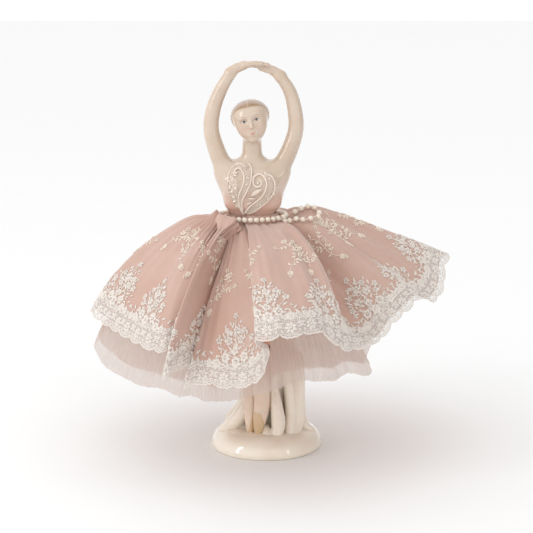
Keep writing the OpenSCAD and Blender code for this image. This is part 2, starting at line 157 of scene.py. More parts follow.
class Shader:
    """Builds a node material; sockets and plain numbers mix freely."""

    def __init__(self, name):
        self.mat = bpy.data.materials.new(name)
        self.mat.use_nodes = True
        self.tree = self.mat.node_tree
        self.tree.nodes.clear()
        self.out = self.tree.nodes.new("ShaderNodeOutputMaterial")

    def node(self, kind, **settings):
        n = self.tree.nodes.new(kind)
        for key, value in settings.items():
            setattr(n, key, value)
        return n

    def feed(self, socket, value):
        if isinstance(value, bpy.types.NodeSocket):
            self.tree.links.new(value, socket)
        else:
            socket.default_value = value

    def math(self, op, *values):
        n = self.node("ShaderNodeMath", operation=op)
        for socket, value in zip(n.inputs, values):
            self.feed(socket, value)
        return n.outputs[0]

    def add(self, a, b):
        return self.math("ADD", a, b)

    def sub(self, a, b):
        return self.math("SUBTRACT", a, b)

    def mul(self, a, b):
        return self.math("MULTIPLY", a, b)

    def absolute(self, a):
        return self.math("ABSOLUTE", a)

    def largest(self, a, b):
        return self.math("MAXIMUM", a, b)

    def smooth_step(self, value, low, high):
        """0 below low, 1 above high; low may be the larger to turn it round."""
        n = self.node("ShaderNodeMapRange", interpolation_type="SMOOTHSTEP")
        flip = low > high
        self.feed(n.inputs["Value"], value)
        n.inputs["From Min"].default_value = min(low, high)
        n.inputs["From Max"].default_value = max(low, high)
        n.inputs["To Min"].default_value = 1.0 if flip else 0.0
        n.inputs["To Max"].default_value = 0.0 if flip else 1.0
        return n.outputs[0]

    def place(self, attribute=None):
        if attribute:
            return self.node("ShaderNodeAttribute", attribute_name=attribute).outputs["Vector"]
        return self.node("ShaderNodeTexCoord").outputs["Object"]

    def split(self, vector):
        n = self.node("ShaderNodeSeparateXYZ")
        self.feed(n.inputs[0], vector)
        return n.outputs

    def scaled(self, vector, scale):
        n = self.node("ShaderNodeMapping")
        self.feed(n.inputs["Vector"], vector)
        n.inputs["Scale"].default_value = scale
        return n.outputs[0]

    def noise(self, vector, scale, detail, rough):
        n = self.node("ShaderNodeTexNoise")
        self.feed(n.inputs["Vector"], vector)
        n.inputs["Scale"].default_value = scale
        n.inputs["Detail"].default_value = detail
        n.inputs["Roughness"].default_value = rough
        return n.outputs["Fac"]

    def mix(self, factor, a, b):
        """From colour a to colour b."""
        n = self.node("ShaderNodeMix", data_type="RGBA")
        self.feed(n.inputs["Factor"], factor)
        for socket, value in ((n.inputs[6], a), (n.inputs[7], b)):
            self.feed(socket, (*value, 1.0) if isinstance(value, tuple) else value)
        return n.outputs[2]

    def bump(self, height, strength, distance, normal=None):
        n = self.node("ShaderNodeBump")
        n.inputs["Strength"].default_value = strength
        n.inputs["Distance"].default_value = distance
        self.feed(n.inputs["Height"], height)
        if normal is not None:
            self.feed(n.inputs["Normal"], normal)
        return n.outputs[0]

    def surface(self, colour, roughness, normal=None, **fixed):
        n = self.node("ShaderNodeBsdfPrincipled")
        self.feed(n.inputs["Base Color"],
                  (*colour, 1.0) if isinstance(colour, tuple) else colour)
        self.feed(n.inputs["Roughness"], roughness)
        if normal is not None:
            self.feed(n.inputs["Normal"], normal)
        for key, value in fixed.items():
            n.inputs[key.replace("_", " ")].default_value = value
        return n.outputs[0]

    def veiled(self, cover, shader):
        """The finished material, seen through where cover is low."""
        clear = self.node("ShaderNodeBsdfTransparent")
        veil = self.node("ShaderNodeMixShader")
        self.feed(veil.inputs[0], cover)
        self.feed(veil.inputs[1], clear.outputs[0])
        self.feed(veil.inputs[2], shader)
        return self.done(veil.outputs[0])

    def done(self, shader):
        self.tree.links.new(shader, self.out.inputs["Surface"])
        return self.mat


GLAZE = {"Coat_Weight": 1.0, "Coat_Roughness": 0.07, "Specular_IOR_Level": 0.5}
SKIN_DEPTH = {"Subsurface_Weight": 0.06, "Subsurface_Scale": 0.004}


def glaze(name, colour, shade, pink=None):
    """Tinted porcelain under a clear glaze, paler where the tint is thin."""
    s = Shader(name)
    at = s.place()
    cloud = s.noise(at, 55.0, 4.0, 0.55)
    fine = s.noise(at, 900.0, 2.0, 0.5)
    body = s.mix(s.smooth_step(cloud, 0.35, 0.7), colour, shade)
    body = s.mix(s.mul(s.smooth_step(fine, 0.72, 0.8), 0.25), body,
                 tuple(c * 0.8 for c in shade))
    if pink is not None:
        body = pink(s, at, body)
    rough = s.add(0.16, s.mul(cloud, 0.12))
    normal = s.bump(s.noise(at, 130.0, 2.0, 0.4), 0.12, 0.0006)
    return s.done(s.surface(body, rough, normal, **SKIN_DEPTH, **GLAZE))


SKIN_PALE, SKIN_DEEP = (0.66, 0.53, 0.42), (0.595, 0.46, 0.35)
LEG_PALE, LEG_DEEP = (0.82, 0.645, 0.505), (0.76, 0.56, 0.42)


def bodice_tint(s, at, body):
    """The painted bodice: rose below a soft neckline, deepest at the waist."""
    x, y, z = s.split(at)
    side = s.absolute(s.add(x, 0.0075))
    line = s.sub(z, s.add(0.1425, s.mul(side, 0.42)))
    cover = s.smooth_step(line, 0.006, -0.010)
    low = s.smooth_step(z, 0.148, 0.130)
    tint = s.mix(low, (0.69, 0.54, 0.455), (0.71, 0.43, 0.345))
    return s.mix(s.mul(cover, 0.78), body, tint)


IVORY = glaze("ivory_glaze", (0.93, 0.84, 0.72), (0.87, 0.76, 0.63))
SKIN = glaze("skin_glaze", SKIN_PALE, SKIN_DEEP)
LEG = glaze("leg_glaze", LEG_PALE, LEG_DEEP)
BODICE = glaze("bodice_glaze", SKIN_PALE, SKIN_DEEP, bodice_tint)


def slipper_paint():
    """Leg glaze with a brushed tan patch on the toe."""
    s = Shader("slipper_glaze")
    at = s.place()
    x, y, z = s.split(at)
    half = s.sub(0.0052, s.mul(s.sub(z, 0.0125), 0.26))
    across = s.sub(s.absolute(s.add(x, 0.0050)), half)
    patch = s.mul(s.smooth_step(across, 0.0002, -0.0005), s.smooth_step(y, -0.0118, -0.0135))
    patch = s.mul(patch, s.smooth_step(z, 0.0245, 0.0225))
    brush = s.noise(s.scaled(at, (1, 1, 0.3)), 600.0, 4.0, 0.6)
    tan = s.mix(brush, (0.60, 0.40, 0.20), (0.70, 0.50, 0.28))
    body = s.mix(s.mul(patch, 0.9), LEG_PALE, tan)
    return s.done(s.surface(body, s.add(0.2, s.mul(brush, 0.15)),
                            s.bump(brush, 0.2, 0.0003), **GLAZE))


HAIR_DEEP, HAIR_PALE = (0.34, 0.21, 0.125), (0.50, 0.345, 0.225)


def hair_tone(s, at):
    """Fine strands over the skull, and the brown they give."""
    strands = s.noise(s.scaled(at, (1.0, 0.12, 1.0)), 2.6, 5.0, 0.65)
    return strands, s.mix(strands, HAIR_DEEP, HAIR_PALE)


def bun_paint():
    """Glazed brown hair."""
    s = Shader("bun_glaze")
    strands, body = hair_tone(s, s.place("face"))
    return s.done(s.surface(body, s.add(0.18, s.mul(strands, 0.18)),
                            s.bump(strands, 0.35, 0.0004), **GLAZE))


def face_paint():
    """Skin glaze with painted hair, brows, eyes, cheeks and lips, and painted shade in the eye
    sockets.
    """
    s = Shader("head_glaze")
    at = s.place("face")          # millimetres from the head's centre: right, forward, up
    x, y, z = s.split(at)
    world = s.place()
    cloud = s.noise(world, 55.0, 4.0, 0.55)
    body = s.mix(s.smooth_step(cloud, 0.35, 0.7), SKIN_PALE, SKIN_DEEP)
    front = s.smooth_step(y, 3.0, 5.0)
    ax = s.absolute(x)

    def oval(cx, cz, rx, rz, soft):
        """A painted spot on both sides of the face."""
        dx = s.mul(s.sub(ax, cx), 1.0 / rx)
        dz = s.mul(s.sub(z, cz), 1.0 / rz)
        r = s.math("SQRT", s.add(s.mul(dx, dx), s.mul(dz, dz)))
        return s.mul(s.smooth_step(r, 1.0 + soft, 1.0 - soft), front)

    def arc(cx, cz, half, rise, thick, soft):
        """A painted line, curved and thinner at its ends."""
        dx = s.sub(ax, cx)
        height = s.sub(cz, s.mul(s.mul(dx, dx), rise / (half * half)))
        across = s.absolute(s.sub(z, height))
        taper = s.sub(thick, s.mul(s.absolute(dx), 0.45 * thick / half))
        edge = s.smooth_step(s.sub(across, taper), soft, -soft)
        end = s.smooth_step(s.absolute(dx), half + 0.15, half - 0.15)
        return s.mul(s.mul(edge, end), front)

    cheeks = oval(4.7, -3.4, 3.0, 2.3, 0.9)
    # painted shade: the eye sockets are darkened a little, standing in for shade in the recess
    socket_shade = oval(3.5, 0.75, 2.1, 1.3, 0.6)
    whites = oval(3.45, 0.05, 1.65, 0.62, 0.12)
    irises = oval(3.35, 0.12, 0.68, 0.66, 0.12)
    pupils = oval(3.35, 0.12, 0.30, 0.32, 0.2)
    lashes = arc(3.5, 0.75, 1.85, 0.75, 0.20, 0.12)
    lower_lids = arc(3.5, -0.62, 1.3, -0.35, 0.07, 0.1)
    brows = arc(3.75, 2.75, 2.1, 0.75, 0.20, 0.18)
    lips = s.largest(oval(0.5, -6.38, 0.98, 0.38, 0.25), oval(0.0, -6.98, 1.15, 0.45, 0.25))
    mouth_line = arc(0.0, -6.68, 1.25, 0.1, 0.06, 0.08)
    for cover, share, colour in (
            (cheeks, 0.35, (0.66, 0.40, 0.31)), (socket_shade, 0.22, (0.55, 0.42, 0.36)),
            (whites, 0.75, (0.70, 0.655, 0.60)), (irises, 1.0, (0.11, 0.095, 0.085)),
            (pupils, 1.0, (0.02, 0.02, 0.02)), (lashes, 0.92, (0.09, 0.06, 0.05)),
            (lower_lids, 0.4, (0.25, 0.17, 0.13)), (brows, 0.7, (0.33, 0.24, 0.18)),
            (lips, 0.75, (0.56, 0.29, 0.235)), (mouth_line, 0.7, (0.36, 0.14, 0.12))):
        body = s.mix(s.mul(cover, share), body, colour)

    strands, hair = hair_tone(s, at)
    mask = s.node("ShaderNodeAttribute", attribute_name="hair").outputs["Fac"]
    covered = s.smooth_step(s.add(mask, s.mul(s.sub(strands, 0.5), 1.1)), -0.35, 0.75)
    parting = s.mul(s.smooth_step(ax, 0.35, 0.1), s.smooth_step(y, -2.0, 1.0))
    hair = s.mix(s.mul(parting, 0.5), hair, SKIN_PALE)
    body = s.mix(covered, body, hair)
    ripple = s.noise(world, 130.0, 2.0, 0.4)
    normal = s.bump(s.mul(strands, covered), 0.3, 0.0004, s.bump(ripple, 0.08, 0.0005))
    rough = s.add(0.16, s.mul(cloud, 0.12))
    return s.done(s.surface(body, rough, normal, **SKIN_DEPTH, **GLAZE))


# ---------------------------------------------------------------- sculpting in clay

def blend(a, b, k):
    """The smaller of two distances, rounded off where they are within k."""
    h = np.maximum(k - np.abs(a - b), 0) / k
    return np.minimum(a, b) - h * h * k * 0.25


def ellipsoid(u, v, w, r):
    """Distance to an ellipsoid round the origin, close to its surface."""
    q = np.sqrt((u / r[0]) ** 2 + (v / r[1]) ** 2 + (w / r[2]) ** 2)
    g = np.sqrt((u / r[0] ** 2) ** 2 + (v / r[1] ** 2) ** 2 + (w / r[2] ** 2) ** 2)
    return q * (q - 1) / np.maximum(g, 1e-4)


class Clay:
    """Signed distances on a grid, in millimetres, joined with smooth unions."""

    def __init__(self, low, high, voxel):
        self.voxel = voxel
        self.low = np.floor(np.asarray(low, float) / voxel) * voxel
        self.size = np.ceil((np.asarray(high, float) - self.low) / voxel).astype(int) + 1
        self.d = np.full(self.size, 50.0, np.float32)
        self.axes = [(self.low[k] + voxel * np.arange(self.size[k])).astype(np.float32)
                     for k in range(3)]

    def window(self, low, high, pad):
        """The part of the grid near a box, and its coordinates."""
        cut = []
        for k in range(3):
            a = int(np.searchsorted(self.axes[k], low[k] - pad))
            b = int(np.searchsorted(self.axes[k], high[k] + pad))
            cut.append(slice(max(a - 1, 0), min(b + 1, self.size[k])))
        grid = np.meshgrid(*[self.axes[k][cut[k]] for k in range(3)], indexing="ij",
                           sparse=True)
        return tuple(cut), grid

    def add(self, shape, low, high, k):
        """Joins a shape on, rounded over k millimetres."""
        cut, (x, y, z) = self.window(low, high, k + 1.5)
        if 0 in self.d[cut].shape:
            return
        self.d[cut] = blend(self.d[cut], shape(x, y, z), k)

    def carve(self, shape, low, high, k):
        """Takes a shape away, as adding it to everything that is not clay."""
        self.d = -self.d
        self.add(shape, low, high, k)
        self.d = -self.d

    def ball(self, c, r, k):
        """An ellipsoid with three radii."""
        c, r = np.asarray(c, float), np.asarray(r, float)

        def shape(x, y, z):
            return ellipsoid(x - c[0], y - c[1], z - c[2], r)
        self.add(shape, c - r, c + r, k)

    def limb(self, rows, k, join=0.4):
        """A chain of tapered capsules through rows of x, y, z, radius."""
        rows = np.asarray(rows, float)
        low = rows[:, :3].min(0) - rows[:, 3].max()
        high = rows[:, :3].max(0) + rows[:, 3].max()

        def shape(x, y, z):
            best = None
            for a, b in zip(rows[:-1], rows[1:]):
                ab = b[:3] - a[:3]
                t = ((x - a[0]) * ab[0] + (y - a[1]) * ab[1] + (z - a[2]) * ab[2]) / (ab @ ab)
                t = np.clip(t, 0, 1)
                d = np.sqrt((x - a[0] - t * ab[0]) ** 2 + (y - a[1] - t * ab[1]) ** 2
                            + (z - a[2] - t * ab[2]) ** 2) - (a[3] + t * (b[3] - a[3]))
                best = d if best is None else blend(best, d, join)
            return best
        self.add(shape, low, high, k)

    def ovals(self, rows, k, power=2.0, folds=None):
        """A stack of ovals: z, centre x, centre y, half width, half depth."""
        rows = np.asarray(rows, float)
        fine = resample(rows, 120)
        low = (rows[:, 1] - rows[:, 3]).min(), (rows[:, 2] - rows[:, 4]).min(), rows[0, 0]
        high = (rows[:, 1] + rows[:, 3]).max(), (rows[:, 2] + rows[:, 4]).max(), rows[-1, 0]

        def shape(x, y, z):
            zz = np.clip(z, rows[0, 0], rows[-1, 0])
            cx, cy, a, b = [np.interp(zz, fine[:, 0], fine[:, i]) for i in (1, 2, 3, 4)]
            u, v = (x - cx) / a, (y - cy) / b
            if folds is not None:
                swell = folds(np.arctan2(v, u), zz)
                u, v = u / swell, v / swell
            q = (np.abs(u) ** power + np.abs(v) ** power) ** (1 / power)
            side = (q - 1) * np.minimum(a, b)
            return np.maximum(side, np.maximum(rows[0, 0] - z, z - rows[-1, 0]))
        self.add(shape, low, high, k)

    def mesh(self):
        """Vertices in millimetres and quads, facing outwards."""
        grid = openvdb.FloatGrid(background=3.0)
        grid.copyFromArray(np.clip(self.d, -3.0, 3.0))
        points, quads = grid.convertToQuads(isovalue=0.0)
        points = self.low + np.asarray(points, float) * self.voxel
        quads = np.asarray(quads, int)
        a, b, c, d = (points[quads[:, i]] for i in range(4))
        volume = (np.einsum("ij,ij->i", a, np.cross(b, c))
                  + np.einsum("ij,ij->i", a, np.cross(c, d))).sum()
        if volume < 0:
            quads = quads[:, ::-1]
        return points, quads


def keep_largest(points, quads):
    """Drops crumbs: keeps the biggest connected shell."""
    label = np.arange(len(points))
    for _ in range(400):
        low = label[quads].min(1)
        new = label.copy()
        for i in range(4):
            np.minimum.at(new, quads[:, i], low)
        new = new[new]
        if (new == label).all():
            break
        label = new
    values, counts = np.unique(label[quads[:, 0]], return_counts=True)
    keep = label[quads[:, 0]] == values[counts.argmax()]
    return select(points, quads, keep)


def select(points, quads, keep):
    """The kept quads and only the points they use."""
    quads = quads[keep]
    used = np.unique(quads)
    index = np.full(len(points), -1)
    index[used] = np.arange(len(used))
    return points[used], index[quads]


def cap_holes(points, quads):
    """Fans over the open rims left by a split, so the piece is closed."""
    edges = np.concatenate([quads[:, [i, (i + 1) % 4]] for i in range(4)])
    edges = edges[edges[:, 0] != edges[:, 1]]
    key = edges[:, 0] * len(points) + edges[:, 1]
    back = edges[:, 1] * len(points) + edges[:, 0]
    rim = edges[~np.isin(key, back)]
    following = {int(a): int(b) for a, b in rim}
    tris, extra = [], []
    while following:
        start, at = next(iter(following.items()))
        loop = [start]
        del following[start]
        while at != start and at in following:
            loop.append(at)
            at = following.pop(at)
        if len(loop) < 3:
            continue
        centre = len(points) + len(extra)
        extra.append(points[loop].mean(0))
        tris += [[loop[(i + 1) % len(loop)], loop[i], centre] for i in range(len(loop))]
    if extra:
        points = np.concatenate([points, np.array(extra)])
    return points, np.array(tris, int).reshape(-1, 3)


def slice_level(obj, level, keep_above):
    """Cuts a mesh flat at a height and closes the cut with a crisp edge."""
    mesh = bmesh.new()
    mesh.from_mesh(obj.data)
    cut = bmesh.ops.bisect_plane(
        mesh, geom=mesh.verts[:] + mesh.edges[:] + mesh.faces[:], dist=1e-7,
        plane_co=(0, 0, level * MM), plane_no=(0, 0, 1),
        clear_inner=keep_above, clear_outer=not keep_above)
    rim = [e for e in cut["geom_cut"] if isinstance(e, bmesh.types.BMEdge)]
    bmesh.ops.contextual_create(mesh, geom=rim)
    bmesh.ops.recalc_face_normals(mesh, faces=mesh.faces[:])
    mesh.to_mesh(obj.data)
    mesh.free()
    obj.data.set_sharp_from_angle(angle=CREASE)


def relax(points, quads, rounds):
    """A light smoothing that takes out the grid's faint steps."""
    share = 0.5
    for _ in range(rounds):
        total = np.zeros_like(points)
        count = np.zeros(len(points))
        for i in range(4):
            for j in (1, 3):
                np.add.at(total, quads[:, i], points[quads[:, (i + j) % 4]])
                np.add.at(count, quads[:, i], 1)
        points = points + share * (total / np.maximum(count, 1)[:, None] - points)
    return points


def modelled(clay, rounds):
    """The largest shell of the clay, lightly smoothed."""
    points, quads = keep_largest(*clay.mesh())
    return relax(points, quads, rounds), quads


# ---------------------------------------------------------------- the porcelain

BODY_X = -7.5
HIP_Z, NECK_Z, SLIPPER_Z = 98.0, 167.0, 23.5
VOXEL = 0.3
FINE = 0.17

LAP = 0.3               # how far neighbouring parts of the casting run into each other
# z, centre x, centre y, half width and half depth of the torso, then of the drape
TORSO_ROWS = [
    [98, -8, 1, 13.5, 11.5], [108, -8, 1, 14, 11.6], [116, -8, 0.6, 13.2, 10.4],
    [122, -7.8, 0.3, 12.2, 9], [127.5, -7.5, 0, 11.6, 8.2], [131, -7.5, 0, 12.6, 8.6],
    [134, -7.4, -0.2, 15, 9.6], [139, -7.4, -0.5, 16.3, 10],
    [145, -7.5, -0.6, 17.4, 10.2], [150, -7.6, -0.3, 17.8, 9.6],
    [154, -7.6, 0.4, 16.4, 8.2], [157, -7.7, 0.8, 12.4, 6.8], [159.5, -7.7, 0.9, 8, 5.8],
    [162, -7.7, 0.8, 5.6, 5.2], [167, -7.7, 0.4, 5.15, 5.15], [171, -7.6, 0, 5.1, 5.1]]
DRAPE_ROWS = [
    [12, -0.5, 2.5, 19.6, 13.2], [14.5, 1.2, 3.5, 17.8, 11.8], [19, 3, 4.2, 15.9, 11],
    [26, 3.8, 4.4, 15, 10.8], [34, 3.9, 4.4, 14.6, 10.8], [50, 1.5, 4, 14.6, 11.2],
    [66, -3, 3, 14.6, 11.4], [82, -6.5, 2, 14.2, 11.5], [98, -8, 1, 13.5, 11.5]]
# x, y, z and radius down the middle of each limb
ARM_LEFT = [
    [-20.4, 0.6, 148, 5.2], [-22.6, 0.2, 154, 4.9], [-26.6, 0, 164, 4.35],
    [-29.4, 0, 175, 3.95], [-28.2, -0.6, 186, 3.75], [-23.8, -1.5, 197.2, 3.3],
    [-18.8, -2.3, 205.2, 2.8]]
ARM_RIGHT = [
    [5.0, 0.6, 148, 5.2], [7.4, 0.2, 154, 4.9], [12.2, 0, 164, 4.35],
    [15.6, 0, 175, 3.95], [14.9, 0.5, 186, 3.7], [12.0, 1.2, 196, 3.2],
    [6.8, 2.1, 203.6, 2.75]]
LEG_FRONT = [
    [-8, -5, 95, 7], [-8, -8.5, 84, 7.4], [-7.4, -11, 70, 6.6], [-6.8, -12, 60, 5.6],
    [-5, -12, 50, 5.6], [-3.6, -12.4, 40, 5], [-2.5, -13.2, 31, 4.4],
    [-2.7, -14, 25, 4.3], [-3.5, -15, 20, 3.8], [-4.2, -15.8, 15.5, 2.9],
    [-4.6, -16.4, 12, 1.9]]
LEG_BACK = [
    [-12, -4, 92, 6], [-12, -6.5, 80, 6.4], [-11.4, -8, 66, 5.8], [-10.6, -8.6, 56, 5.2],
    [-10, -8.6, 44, 4.6], [-9.2, -9.6, 32, 3.7], [-8.8, -10.8, 25, 3.6],
    [-8.8, -12.2, 19, 3.1], [-8.8, -13.2, 15, 2.4], [-8.8, -13.8, 12, 1.8]]

HEAD_C = np.array([-8.35, -0.6, 180.2])
LEAN = math.radians(12)       # the head leans to the dancer's right
NOD = math.radians(-4)        # and is lifted a little


def head_frame():
    """Rows are the head's right-of-picture, forward and up directions."""
    up = np.array([-math.sin(LEAN), 0.0, math.cos(LEAN)])
    across = np.array([math.cos(LEAN), 0.0, math.sin(LEAN)])
    ahead = np.array([0.0, -1.0, 0.0])
    forward = ahead * math.cos(NOD) - up * math.sin(NOD)
    up = up * math.cos(NOD) + ahead * math.sin(NOD)
    return np.array([across, forward, up])


HEAD_R = head_frame()


def head_point(p):
    """From the head's own millimetres to the model's."""
    return HEAD_C + np.asarray(p, float) @ HEAD_R


class HeadClay(Clay):
    """Clay addressed in the head's own right, forward and up directions."""

    def local(self, x, y, z):
        """Grid coordinates in the head's own directions."""
        dx, dy, dz = x - HEAD_C[0], y - HEAD_C[1], z - HEAD_C[2]
        return [HEAD_R[i, 0] * dx + HEAD_R[i, 1] * dy + HEAD_R[i, 2] * dz for i in range(3)]

    def blob(self, c, r, k, carve=False, tilt=0.0):
        """An ellipsoid in head coordinates; tilt turns it about the forward axis."""
        centre = head_point(c)
        reach = np.ones(3) * max(r)
        cs, sn = math.cos(tilt), math.sin(tilt)

        def shape(x, y, z):
            u, v, w = self.local(x, y, z)
            u, v, w = u - c[0], v - c[1], w - c[2]
            return ellipsoid(cs * u + sn * w, v, -sn * u + cs * w, r)
        (self.carve if carve else self.add)(shape, centre - reach, centre + reach, k)

    def stroke(self, rows, k):
        """A limb in head coordinates."""
        rows = [[*head_point(r[:3]), r[3]] for r in rows]
        self.limb(rows, k)


def hairline(across, forward):
    """Height of the edge of the hair, a little higher away from the middle."""
    level = np.interp(forward, [-12, -6, -2.0, 0.5, 2.4, 4.4, 6.6, 8.5, 11],
                      [-8.2, -7.4, -4.2, -1.4, 1.8, 4.6, 6.5, 7.4, 7.8])
    return level + 0.10 * np.abs(across) - 0.6


def sculpt_head():
    """Skull, face and neck, with the combed hair modelled over them."""
    clay = HeadClay([-23, -15, 164], [7, 18, 195], FINE)
    clay.ovals(TORSO_ROWS[-3:] + [[176, -7.8, -0.4, 5.0, 5.2]], 0.5)
    clay.blob((0, -1.2, 2.3), (9.9, 10.6, 8.2), 1.0)
    clay.blob((0, 2.0, -2.0), (7.9, 7.4, 8.3), 3.2)
    clay.blob((0, 3.9, -6.3), (5.3, 5.2, 4.5), 3.2)
    clay.blob((0, 7.0, -9.8), (2.1, 1.9, 1.7), 2.4)
    clay.blob((0, 4.6, 2.6), (7.8, 5.0, 5.8), 3.0)
    for side in (-1, 1):
        clay.blob((side * 3.9, 5.4, -3.2), (3.3, 3.1, 3.6), 3.0)
        clay.blob((side * 3.3, 8.85, 2.1), (2.4, 0.7, 0.8), 1.8, tilt=side * -0.1)
        clay.blob((side * 3.5, 10.6, 0.1), (2.2, 1.75, 1.25), 1.3, carve=True)
        clay.blob((side * 3.4, 7.15, 0.0), (1.95, 2.0, 1.5), 0.5)
        clay.blob((side * 3.45, 8.75, 0.85), (1.75, 0.5, 0.38), 0.35, tilt=side * -0.05)
        clay.blob((side * 3.45, 8.65, -0.75), (1.5, 0.4, 0.28), 0.35)
    clay.stroke([[0, 9.0, 2.2, 0.75], [0, 9.7, 0.2, 0.72], [0, 10.7, -2.0, 0.85],
                 [0, 11.1, -3.1, 0.88]], 1.1)
    for side in (-1, 1):
        clay.blob((side * 0.85, 10.1, -3.5), (0.6, 0.85, 0.55), 0.7)
        clay.blob((side * 0.5, 10.6, -4.05), (0.26, 0.4, 0.2), 0.25, carve=True)
    clay.blob((0, 9.3, -5.2), (0.45, 0.5, 0.8), 0.5, carve=True)
    clay.blob((0, 8.2, -6.7), (2.9, 1.9, 2.0), 1.4)
    for side in (-1, 1):
        clay.blob((side * 0.6, 9.75, -6.3), (0.95, 0.55, 0.36), 0.35, tilt=side * -0.18)
        clay.blob((side * 0.4, 9.65, -7.05), (0.9, 0.58, 0.44), 0.35)
    clay.stroke([[-1.3, 9.9, -6.66, 0.05], [0, 10.3, -6.7, 0.06], [1.3, 9.9, -6.66, 0.05]], 0.05)
    clay.blob((0, 10.4, -6.68), (1.2, 0.22, 0.09), 0.25, carve=True)

    def hair(x, y, z):
        u, v, w = clay.local(x, y, z)
        cap = np.sqrt((u / 10.45) ** 2 + ((v + 1.3) / 11.1) ** 2 + ((w - 2.3) / 8.75) ** 2)
        shell = (cap - 1) * 9.9
        angle = np.arctan2(u, w + 2.5)
        comb = 0.05 * np.sin(52 * angle + 0.35 * v + 1.5 * np.sin(0.5 * v + 3 * angle))
        crease = 0.35 * np.exp(-(u / 0.35) ** 2) * (v > -3)
        edge = hairline(u, v) - w
        return np.maximum(shell + comb + crease, edge * 0.75)
    clay.add(hair, HEAD_C - 13, HEAD_C + 13, 0.7)
    points, quads = modelled(clay, 2)
    own = (points - HEAD_C) @ HEAD_R.T
    cap = np.sqrt((own[:, 0] / 10.35) ** 2 + ((own[:, 1] + 1.3) / 11.0) ** 2
                  + ((own[:, 2] - 2.3) / 8.65) ** 2)
    above = own[:, 2] - hairline(own[:, 0], own[:, 1])
    mask = np.where(cap > 0.985, above, -1.0)
    head = make_object("head_sculpt", points, quads, None, {"face": own})
    layer = head.data.attributes.new("hair", "FLOAT", "POINT")
    layer.data.foreach_set("value", np.clip(mask, -2, 2).astype(np.float32))
    slice_level(head, NECK_Z - LAP, keep_above=True)
    return finish_piece(head, face_paint(), "skin_glaze", ["head"])


def sculpt_bun():
    """The twisted knot at the back of the head, with three turns of hair round it."""
    clay = HeadClay([-22, 4, 166], [8, 24, 192], FINE * 1.2)
    centre = np.array([0.0, -13.2, -0.6])

    def knot(x, y, z):
        u, v, w = clay.local(x, y, z)
        u, v, w = u - centre[0], v - centre[1], w - centre[2]
        r = np.sqrt((u / 1.12) ** 2 + (v / 0.82) ** 2 + w ** 2)
        around = np.arctan2(w, u)
        out = np.sqrt(u ** 2 + w ** 2)
        twist = 0.16 * np.sin(9 * around + 1.9 * out) + 0.07 * np.sin(34 * around + 5 * out)
        return (r - 5.1 + twist) * 0.85
    reach = np.ones(3) * 8
    clay.add(knot, head_point(centre) - reach, head_point(centre) + reach, 0.3)
    for turn in range(3):
        a = np.linspace(0, 2 * math.pi, 13) + 2.1 * turn
        radius = 4.3 - 0.9 * turn
        rows = [[radius * math.cos(t), -13.4 - 0.9 * turn + 0.6 * math.sin(2 * t + turn),
                 -0.6 + radius * 0.9 * math.sin(t), 1.25 - 0.12 * turn] for t in a]
        clay.stroke(rows, 0.35)
    points, quads = modelled(clay, 1)
    own = (points - HEAD_C) @ HEAD_R.T
    bun = make_object("hair_knot", points, quads, None, {"face": own})
    return finish_piece(bun, bun_paint(), "hair_glaze", ["hair_bun"])


def body_core(clay):
    """Torso, shoulders and both arms, the same in every block they are cut from."""
    clay.ovals(TORSO_ROWS, 1.0, power=2.15)
    for side in (-1, 1):
        clay.ball((BODY_X + side * 6.4, -5.4, 145.6), (6.6, 5.4, 6.2), 4.5)
        clay.ball((BODY_X + side * 13.2, 0.6, 152.6), (5.4, 5.4, 5.0), 4.0)
        clay.limb([[BODY_X + side * 1.6, -4.6, 156.4, 0.7],
                   [BODY_X + side * 7.5, -4.4, 156.6, 0.75],
                   [BODY_X + side * 12.5, -2.2, 157.2, 0.7]], 1.8)
    clay.limb(resample(ARM_LEFT, 32), 3.6, 0.9)
    clay.limb(resample(ARM_RIGHT, 32), 3.6, 0.9)


def hand(clay, wrist, along, side, lift, droop):
    """A slim hand: palm, four fingers held together and a thumb."""
    wrist, along, side, lift = (np.asarray(v, float) for v in (wrist, along, side, lift))

    def at(a, s, n, r):
        """A ball of the hand: along it, across it, above it and the radius."""
        a = 1.22 * a
        return [*(wrist + a * along + s * side + (n - droop * a * a) * lift), r]
    clay.limb([at(-2.5, 0, 0, 2.75), at(1.0, 0, 0.1, 2.5), at(4.4, -0.3, 0.1, 2.2)], 2.0)
    clay.limb([at(1.0, 0.6, 0, 2.1), at(5.0, 0.8, 0.1, 2.0)], 1.4)
    for n, (offset, reach) in enumerate(((-1.75, 12.0), (-0.6, 13.6), (0.6, 13.3), (1.7, 11.4))):
        clay.limb([at(4.2, offset, 0.1, 1.55), at(6.0, offset, 0.2, 1.5),
                   at(7.8, offset * 0.95, 0.2, 1.42), at(9.4, offset * 0.9, 0.2, 1.34),
                   at(11.0, offset * 0.85, 0.1, 1.2),
                   at(reach, offset * 0.7, 0.1 - 0.1 * n, 0.85)], 0.4, 0.5)
    clay.limb([at(1.6, -1.8, -0.6, 1.2), at(4.0, -2.3, -1.2, 1.0),
               at(6.6, -1.9, -1.5, 0.8)], 0.8, 0.5)


# where each arm is cut from the torso: a point of the plane and its normal
SHOULDER = {
    "left": (np.array([-24.4, 0.2, 158.5]), np.array([-0.37, 0.0, 0.93])),
    "right": (np.array([9.6, 0.2, 158.5]), np.array([0.37, 0.0, 0.93]))}


def beyond_shoulder(centres, which):
    """Which points belong to the arm and not to the torso."""
    at, normal = SHOULDER[which]
    sign = -1 if which == "left" else 1
    outside = (sign * (centres[:, 0] - BODY_X) > 11.5) | (centres[:, 2] > 197)
    return ((centres - at) @ normal > 0) & outside


